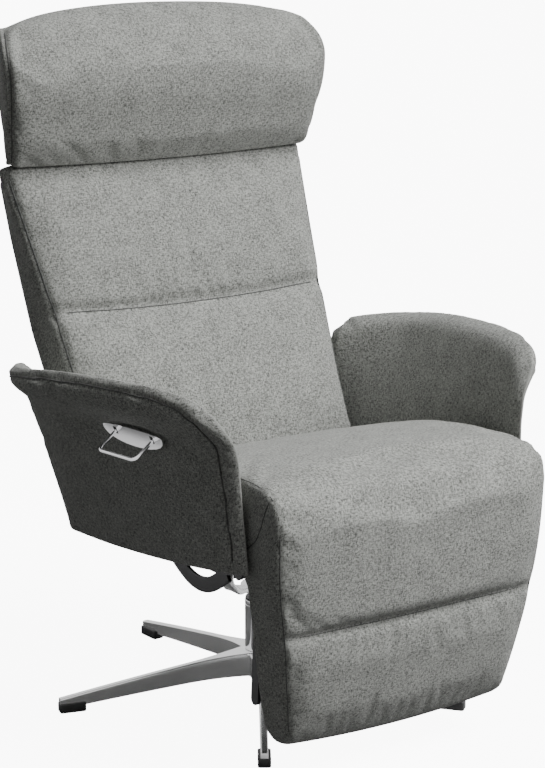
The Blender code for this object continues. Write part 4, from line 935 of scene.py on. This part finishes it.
def arm_grid(side, pocket):
    """A closed shell: rows run from front to rear, and each row's ring goes down the outer face,
    round the foot and up the inner face.

    The four edge curves are filled in by a Coons patch: the sum of the two ruled surfaces less the
    bilinear one through the corners. Half the thickness goes to each side of it, times
    sqrt(1 - (1 - d / r)^2) for distance d from the edge, so that all edges are round."""
    share_a, share_u = (0.5 * t + 0.25 * (1 - np.cos(pi * t))
                        for t in (np.linspace(0, 1, ARM_ROWS), np.linspace(0, 1, ARM_COLUMNS)))

    def edge(name, shares):
        fine = spline(ARM_EDGES[name], 400)
        return np.stack([np.interp(shares, np.linspace(0, 1, 400), fine[:, k]) for k in (0, 1)], 1)
    front, rear = edge("front", share_u)[None], edge("rear", share_u)[None]
    top, foot = edge("top", share_a)[:, None], edge("foot", share_a)[:, None]
    a, u = share_a[:, None, None], share_u[None, :, None]
    flat = ((1 - a) * front + a * rear + (1 - u) * foot + u * top
            - (1 - a) * (1 - u) * foot[0] - a * (1 - u) * foot[-1]
            - (1 - a) * u * top[0] - a * u * top[-1])
    y, z = flat[..., 0], flat[..., 1]
    swell = np.clip((z - 0.512) / 0.065, 0, 1)
    thick = ARM_THICKNESS - 0.009 * (1 - share_a[:, None]) ** 3
    thick = thick + ARM_ROLL * swell ** 2 * (3 - 2 * swell)
    step = 1e-4
    slope_y = (arm_flare(y + step, z) - arm_flare(y - step, z)) / (2 * step)
    slope_z = (arm_flare(y, z + step) - arm_flare(y, z - step)) / (2 * step)
    out = unit(np.stack([np.ones_like(y), -slope_y, -slope_z], -1))
    toe = ARM_TOE * np.clip(1 - share_a[:, None] / 0.3, 0, 1) ** 2
    middle = np.stack([ARM_INNER + arm_flare(y, z) - toe, y, z], -1) + out * (thick / 2)[..., None]
    rim = spline(np.concatenate([middle[0], middle[1:, -1], middle[-1][-2::-1]]), 900)
    border = nearest(middle.reshape(-1, 3), rim)[0].reshape(y.shape)
    base = nearest(middle.reshape(-1, 3), middle[:, 0])[0].reshape(y.shape)
    ease = np.sqrt(np.clip(1 - (1 - np.clip(border / (thick / 2 + ARM_RIM), 0, 1)) ** 2, 0, 1))
    ease *= np.sqrt(np.clip(1 - (1 - np.clip(base / ARM_FOOT_RIM, 0, 1)) ** 2, 0, 1))
    half = (thick / 2 * np.maximum(ease, 0.004))[..., None]
    roll = np.sqrt(np.clip(1 - (1 - np.clip(border / (thick / 2 + ARM_INNER_ROLL), 0, 1)) ** 2, 0, 1))
    outer, inner = middle + out * half, middle - out * half * roll[..., None]
    if pocket is not None:
        spot, radii, depth = pocket
        local = outer - spot["middle"]
        reach = (local @ spot["along"] / radii[0]) ** 2 + (local @ spot["up"] / radii[1]) ** 2
        outer = outer - out * (depth * np.clip(1 - reach, 0, 1) ** 0.6)[..., None]
    grid = np.concatenate([outer[:, ::-1], inner], 1)
    grid[..., 0] *= side
    return grid


def arm_seam(grid):
    """Path on the outer face at the strip's width inside the top and front edges: the edges' curve
    moved square to itself, then laid on the face."""
    rim = spline(ARM_EDGES["top"][::-1] + ARM_EDGES["front"][-2::-1], 260)
    ahead = unit(np.gradient(rim, axis=0))
    line = rim + np.stack([-ahead[:, 1], ahead[:, 0]], 1) * STRIP_WIDTH
    outer = grid[:, :ARM_COLUMNS].reshape(-1, 3)
    _, which = nearest(line, outer[:, 1:])
    path = np.column_stack([outer[which, 0], line])
    return smoothed(path[6:-3], 5)


def arm_wing(side, word):
    """One arm with its seam and the seam's raised edge."""
    grid = arm_grid(side, None if side > 0 else POCKET)
    piece = ring_body(f"arm_wing_{word}", grid)
    held = np.zeros(grid.shape[:2])
    held[:3] = held[-3:] = 1.0
    held[:, ARM_COLUMNS - 4:ARM_COLUMNS + 4] = 1.0
    held[:, ARM_COLUMNS:] = 0.6
    if side < 0:
        far = np.linalg.norm(grid - POCKET[0]["middle"] * mirror, axis=2)
        held[far < 0.10] = 1.0
    run_cloth(piece, held.ravel(), 2.0, 0.003)
    subdivided(piece)
    path = arm_seam(grid)
    press_seam(piece, path, 0.0026, 0.0055)
    piece.data.materials.append(grey_wool)
    cord = seam_cord(f"arm_{word}_seam", piece, path, 0.0013, 0.0005, seam_wool_painted_shade)
    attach(cord, "seat")
    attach(piece, "seat")
    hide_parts(f"arm_{word}")
    return piece


def flat_frame(name):
    """Middle and the length, height and thickness directions of a thin node, by its own spread."""
    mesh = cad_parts[name].data
    co = np.empty(len(mesh.vertices) * 3)
    mesh.vertices.foreach_get("co", co)
    co = co.reshape(-1, 3)
    middle = (co.min(0) + co.max(0)) / 2
    _, _, axes = np.linalg.svd(co - co.mean(0), full_matrices=False)
    along, up, out = axes
    along = along * -np.sign(along[1])
    up = up * np.sign(up[2])
    out = out * np.sign(out[0]) * -1
    reach = (co - middle) @ np.stack([along, up, out]).T
    middle = middle + (reach.max(0) + reach.min(0)) / 2 @ np.stack([along, up, out])
    return {"middle": middle, "along": along, "up": up, "out": out,
            "half": (reach.max(0) - reach.min(0)) / 2}


PLATE = flat_frame("release_plate")
mirror = np.array([-1.0, 1, 1])
POCKET = ({"middle": PLATE["middle"] * mirror, "along": PLATE["along"] * mirror,
           "up": PLATE["up"] * mirror}, (0.076, 0.024), 0.010)
arm_left = arm_wing(1, "left")
arm_right = arm_wing(-1, "right")


# --- release lever ----------------------------------------------------------------------------------
# A lens-shaped plate stamped from aluminium sheet and polished, dished so that it sits in the arm's
# hollow, with two slots. A bent wire loop turns on a bar behind the plate and comes out through
# the slots; pulling it up lets the gas spring go.
PLATE_HALF, PLATE_SHEET = 0.071, 0.0016
SLOT_PLACE, SLOT_HALF, SLOT_REACH = 0.044, 0.0040, (-0.0065, 0.0057)
WIRE_RADIUS = 0.0028
LOOP_HALF, LOOP_OUT, LOOP_CORNER = 0.044, 0.049, 0.010
LOOP_DROOP = radians(14)


def plate_mesh():
    """The plate's face: y runs between the two lens edges, t = 5.7 + 5.95 sin(s) above and
    5.7 - 26.05 sin(s)^0.8 below, in mm. It is dished by the product of both parabolas. The quads
    over the two slots are left out, and the sheet's back repeats the face."""
    s = np.concatenate([np.linspace(0.02, 0.98, 141)]) * pi
    x = -PLATE_HALF * np.cos(s)
    marks = np.array([c + d for c in (-SLOT_PLACE, SLOT_PLACE) for d in (-SLOT_HALF, SLOT_HALF)])
    x = np.unique(np.concatenate([x, marks]))
    sine = np.sqrt(np.clip(1 - (x / PLATE_HALF) ** 2, 0, 1))
    top, low = 0.0057 + 0.00595 * sine, 0.0057 - 0.02605 * sine ** 0.8
    t = np.linspace(0, 1, 31)
    height = low[:, None] + (top - low)[:, None] * t
    height += 0.0
    middle = (PLATE["middle"] - PLATE["up"] * (0.01165 - 0.01435) * 0)
    dish = 0.0022 * (sine[:, None] ** 2) * (4 * t * (1 - t))
    centre = (top.max() + low.min()) / 2
    base = PLATE["middle"]
    lift = PLATE["half"][2]
    face = (base + x[:, None, None] * PLATE["along"] + (height - centre)[..., None] * PLATE["up"]
            + (lift - dish)[..., None] * PLATE["out"])
    back = face - PLATE_SHEET * PLATE["out"]
    rows, count = height.shape
    number = np.arange(rows * count).reshape(rows, count)
    centre_x = (x[:-1] + x[1:]) / 2
    centre_y = (height[:-1, :-1] + height[1:, 1:]) / 2
    slotted = (np.abs(np.abs(centre_x) - SLOT_PLACE) < SLOT_HALF)[:, None] & (
        (centre_y > SLOT_REACH[0]) & (centre_y < SLOT_REACH[1]))
    i, j = np.nonzero(~slotted)
    quads = np.stack([number[i, j], number[i + 1, j], number[i + 1, j + 1], number[i, j + 1]], 1)
    both = np.concatenate([quads, quads[:, ::-1] + rows * count])
    edges = np.concatenate([quads[:, [k, (k + 1) % 4]] for k in range(4)])
    key = edges[:, 0] * (rows * count) + edges[:, 1]
    twin = edges[:, 1] * (rows * count) + edges[:, 0]
    rim = edges[~np.isin(key, twin)]
    walls = np.stack([rim[:, 1], rim[:, 0], rim[:, 0] + rows * count, rim[:, 1] + rows * count], 1)
    mesh = bpy.data.meshes.new("lever_plate")
    places = np.concatenate([face.reshape(-1, 3), back.reshape(-1, 3)])
    mesh.from_pydata(places.tolist(), [], np.concatenate([both, walls]).tolist())
    work = bmesh.new()
    work.from_mesh(mesh)
    bmesh.ops.delete(work, geom=[v for v in work.verts if not v.link_faces], context="VERTS")
    bmesh.ops.recalc_face_normals(work, faces=work.faces)
    work.to_mesh(mesh)
    work.free()
    return mesh


lever_plate = add_piece("lever_plate", plate_mesh(), 30)
lever_shine = metal("lever_shine", (0.80, 0.80, 0.81), 0.12, 0.10, 900, 0.04)
lever_plate.data.materials.append(lever_shine)
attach(lever_plate, "seat")
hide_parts("release_plate")

BAR_PLACE = np.array([-0.3114, -0.13512, 0.50701])
BAR_AXIS = np.array([-0.11166, 0.99369, -0.01026])


def loop_path():
    """A closed rectangle with rounded corners: the bar behind the plate, two legs, the grip. Its
    plane holds the bar's axis and hangs below the plate's normal by the droop."""
    hang = unit(PLATE["out"] - BAR_AXIS * (PLATE["out"] @ BAR_AXIS))
    drop = unit(-PLATE["up"] + BAR_AXIS * (PLATE["up"] @ BAR_AXIS))
    drop = unit(drop - hang * (drop @ hang))
    reach = hang * cos(LOOP_DROOP) + drop * sin(LOOP_DROOP)
    w, d, r = LOOP_HALF, LOOP_OUT, LOOP_CORNER
    turn = np.linspace(0, pi / 2, 9)
    small = 0.004
    corners = []
    for cx, cy, start, size in ((w - small, small, -90, small), (w - r, d - r, 0, r),
                                (-(w - r), d - r, 90, r), (-(w - small), small, 180, small)):
        angle = radians(start) + turn
        corners.append(np.stack([cx + size * np.cos(angle), cy + size * np.sin(angle)], 1))
    flat = np.concatenate(corners)
    flat = np.concatenate([flat, flat[:1]])
    run = np.concatenate([[0], np.cumsum(np.linalg.norm(np.diff(flat, axis=0), axis=1))])
    even = np.linspace(0, run[-1], 201)[:-1]
    flat = np.stack([np.interp(even, run, flat[:, k]) for k in (0, 1)], 1)
    return BAR_PLACE + flat[:, :1] * BAR_AXIS + flat[:, 1:] * reach, np.cross(BAR_AXIS, reach)


wire, wire_up = loop_path()
lever_loop = ring_body("lever_loop", swept_grid(wire, WIRE_RADIUS, wire_up, 16, closed=True),
                       closed=True)
lever_loop.data.materials.append(lever_shine)
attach(lever_loop, "lever")
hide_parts("release_lever")


# --- back pillow ------------------------------------------------------------------------------------
# Moulded foam on a steel frame, in one cover of the same wool that also closes the rear. A seam
# crosses the back and parts an upper from a lower pad, and piped seams run up both edges. The
# cloth is eased in above the cross seam, which leaves small upright creases.
BACK_PIVOT = (0.130, 0.345)
BACK_LEAN = radians(25.7)
BACK_RUN = (0.014, 0.533)
BACK_FACE, BACK_REAR = -0.064, 0.032
BACK_HALVES = (0.249, 0.292)
BACK_REAR_HALVES = (0.249, 0.262, 0.269, 0.267, 0.262)
BACK_SEAM = 0.280
BACK_EDGE = 0.021
BACK_ROUND = 0.011                 # of the pillow's two ends


def back_place(run, depth):
    """(y, z) of a point `run` up the back's lean and `depth` behind its pivot line."""
    return (BACK_PIVOT[0] + run * sin(BACK_LEAN) + depth * cos(BACK_LEAN),
            BACK_PIVOT[1] + run * cos(BACK_LEAN) - depth * sin(BACK_LEAN))


def back_pillow_grid():
    """Rings across the back, bottom to top, with quarter-circle edges at both ends. The face is crowned across by (1 - (x / h)^4), with one more hump for each pad."""
    turn = np.linspace(0, pi / 2, 7)
    ends = BACK_ROUND * (1 - np.cos(turn))
    span = BACK_RUN[1] - BACK_RUN[0]
    run = np.concatenate([ends[:-1], np.linspace(BACK_ROUND, span - BACK_ROUND, 94),
                          span - ends[-2::-1]])
    near = np.clip(np.minimum(run, span - run) / BACK_ROUND, 0, 1)
    inset = BACK_ROUND * (1 - np.sqrt(np.clip(1 - (1 - near) ** 2, 0, 1)))
    run = run + BACK_RUN[0]
    share = (run - BACK_RUN[0]) / span
    centre = (BACK_FACE + BACK_REAR) / 2
    thick = (BACK_REAR - BACK_FACE) / 2 - inset
    outer = np.stack([0 * run, *back_place(run, centre - thick)], 1)
    inner = np.stack([0 * run, *back_place(run, centre + thick)], 1)
    half = BACK_HALVES[0] + (BACK_HALVES[1] - BACK_HALVES[0]) * share ** 1.5
    half = half - inset
    plan, marks = rounded_ring(36, 5, 8)
    grid = banded_grid(inner, outer, half, BACK_EDGE + 0 * run, (1, 0, 0), plan)
    rear = np.interp(share, (0, 0.3, 0.5, 0.8, 1), BACK_REAR_HALVES)
    narrow = np.clip(1 - plan[2], 0, 1) * (half + inset - rear)[:, None]
    grid[..., 0] *= 1 - narrow / half[:, None]
    across = np.clip(grid[..., 0] / half[:, None], -1, 1)
    face = np.clip(plan[2] * 2 - 1, 0, 1)
    low = np.sin(pi * np.clip((run - BACK_RUN[0]) / (BACK_SEAM - BACK_RUN[0]), 0, 1)) ** 0.7
    high = np.sin(pi * np.clip((run - BACK_SEAM) / (BACK_RUN[1] - BACK_SEAM), 0, 1)) ** 0.7
    crown = (0.007 * np.where(run < BACK_SEAM, low, high))[:, None] * (1 - across ** 4) * face
    out = unit(outer - inner)
    grid += out[:, None] * crown[..., None]
    sag = 0.010 * (1 - across ** 2) * np.exp(-((run - BACK_SEAM) / 0.09) ** 2)[:, None] * face
    along = np.array([0, sin(BACK_LEAN), cos(BACK_LEAN)])
    grid -= along * sag[..., None]
    return grid, marks, run


back_grid, back_marks, back_run = back_pillow_grid()
back_pillow = ring_body("back_pillow", back_grid, back_marks)
ring = back_grid.shape[1]
seam_row = int(np.argmin(np.abs(back_run - BACK_SEAM)))
face_columns = np.arange(back_marks["outer_right"], back_marks["outer_left"] + 1)
held = np.zeros(back_grid.shape[:2])
held[seam_row, back_marks["right"]:back_marks["left"] + 1] = 1.0
held[:, back_marks["outer_right"]] = held[:, back_marks["outer_left"]] = 1.0
held[:6] = held[-6:] = 1.0
held[:, :back_marks["right"] + 1] = held[:, back_marks["left"]:] = 1.0
run_cloth(back_pillow, held.ravel(), 3.0, 0.010)
subdivided(back_pillow)
rest = points_of(back_pillow)
across = rest[seam_row * ring + face_columns]
edges = {word: rest[np.arange(8, len(back_grid) - 6) * ring + back_marks[mark]]
         for word, mark in (("left", "outer_right"), ("right", "outer_left"))}
press_seam(back_pillow, across, 0.0075, 0.012)
press_seam(back_pillow, across, 0.002, 0.003)
for path in edges.values():
    press_seam(back_pillow, path, 0.0022, 0.005)
lean = np.array([0, sin(BACK_LEAN), cos(BACK_LEAN)])
seam_at = spline(across, 161)
for place, length, slant, depth in ((0.34, 0.030, 0.10, 0.0022), (0.40, 0.042, -0.12, 0.0034),
                                    (0.455, 0.026, 0.25, 0.0028), (0.50, 0.048, 0.05, 0.0042),
                                    (0.545, 0.034, -0.22, 0.0032), (0.60, 0.040, 0.12, 0.0030),
                                    (0.66, 0.026, -0.08, 0.0020)):
    foot = seam_at[int(place * 160)]
    step = np.linspace(0.004, length, 14)[:, None]
    crease = foot + lean * step + np.array([1.0, 0, 0]) * slant * step
    press_seam(back_pillow, crease, depth, 0.0042, np.sin(np.linspace(0.5, pi, 14)))
back_pillow.data.materials.append(grey_wool)
for name, path, radius in (("back_cross_seam", across, 0.0011), ("back_edge_left", edges["left"], 0.0014),
                           ("back_edge_right", edges["right"], 0.0014)):
    cord = seam_cord(name, back_pillow, path, radius, 0.0003, seam_wool_painted_shade)
    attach(cord, "back")
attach(back_pillow, "back")
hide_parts("back_cushion", "back_shell")


# --- headrest pillow --------------------------------------------------------------------------------
# A broad pillow of moulded foam, held by two flat arms that a pin crosses: it nods on the pin. The
# front panel runs up over the top, and a raised seam at each end joins it to the side panel.
HEAD_STATIONS = (
    # (y, z) of the face, (y, z) of the rear, half width at the face
    ((0.300, 0.8515), (0.383, 0.8660), 0.280), ((0.289, 0.8475), (0.390, 0.8690), 0.285),
    ((0.2795, 0.8510), (0.395, 0.8780), 0.289), ((0.2680, 0.8785), (0.397, 0.900), 0.294),
    ((0.2575, 0.9170), (0.397, 0.930), 0.299), ((0.2470, 0.9570), (0.397, 0.965), 0.3035),
    ((0.2440, 0.9900), (0.396, 1.000), 0.3060), ((0.2445, 1.0120), (0.396, 1.020), 0.3070),
    ((0.2505, 1.0350), (0.394, 1.045), 0.3060), ((0.2620, 1.0550), (0.389, 1.062), 0.302),
    ((0.2760, 1.0720), (0.382, 1.075), 0.296), ((0.2930, 1.0855), (0.373, 1.086), 0.288),
    ((0.3130, 1.0940), (0.362, 1.093), 0.279), ((0.3300, 1.0965), (0.352, 1.0955), 0.270))
HEAD_REAR_SHARE = 0.845
HEAD_EDGE = 0.018


def headrest_grid():
    """Rings across the pillow, bottom to top, narrower to the rear. The top arches: it falls by
    0.016 s^2 + 0.018 s^6 for share s of the half width; the lower lip is bowed by 7 mm."""
    table = np.array([[*face, *rear, half] for face, rear, half in HEAD_STATIONS])
    line = spline(table, 96)
    zero = np.zeros(len(line))
    outer = np.stack([zero, line[:, 0], line[:, 1]], 1)
    inner = np.stack([zero, line[:, 2], line[:, 3]], 1)
    plan, marks = rounded_ring(36, 5, 8)
    grid = banded_grid(inner, outer, line[:, 4], HEAD_EDGE + zero, (1, 0, 0), plan)
    depth = np.clip(plan[2], 0, 1)
    share = np.clip(grid[..., 0] / line[:, 4][:, None], -1, 1)
    grid[..., 0] *= HEAD_REAR_SHARE + (1 - HEAD_REAR_SHARE) * depth
    rise = np.linspace(0, 1, len(line))[:, None]
    grid[..., 2] -= (0.016 * share ** 2 + 0.018 * share ** 6) * np.clip((rise - 0.45) / 0.55, 0, 1) ** 1.5
    grid[..., 2] -= 0.007 * (1 - share ** 2) * np.exp(-((rise - 0.07) / 0.07) ** 2) * depth ** 3
    bow = (1 - share ** 4) * np.clip(plan[2] * 2 - 1, 0, 1) * np.sin(pi * np.clip(rise, 0, 1)) ** 0.6
    grid[..., 1] -= 0.003 * bow
    return grid, marks


head_grid, head_marks = headrest_grid()
headrest_pillow = ring_body("headrest_pillow", head_grid, head_marks)
ring = head_grid.shape[1]
held = np.zeros(head_grid.shape[:2])
held[:, head_marks["outer_right"]] = held[:, head_marks["outer_left"]] = 1.0
held[:5] = held[-4:] = 1.0
held[:, :head_marks["right"] + 1] = held[:, head_marks["left"]:] = 1.0
run_cloth(headrest_pillow, held.ravel(), 3.0, 0.008)
subdivided(headrest_pillow)
rest = points_of(headrest_pillow)
headrest_pillow.data.materials.append(grey_wool)
for word, mark in (("left", "outer_right"), ("right", "outer_left")):
    path = rest[np.arange(4, len(head_grid) - 9) * ring + head_marks[mark]]
    press_seam(headrest_pillow, path, 0.0024, 0.005)
    cord = seam_cord(f"headrest_seam_{word}", headrest_pillow, path, 0.0012, 0.0003, seam_wool_painted_shade)
    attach(cord, "headrest")
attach(headrest_pillow, "headrest")
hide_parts("headrest_cushion", "headrest_board", "headrest_shell")
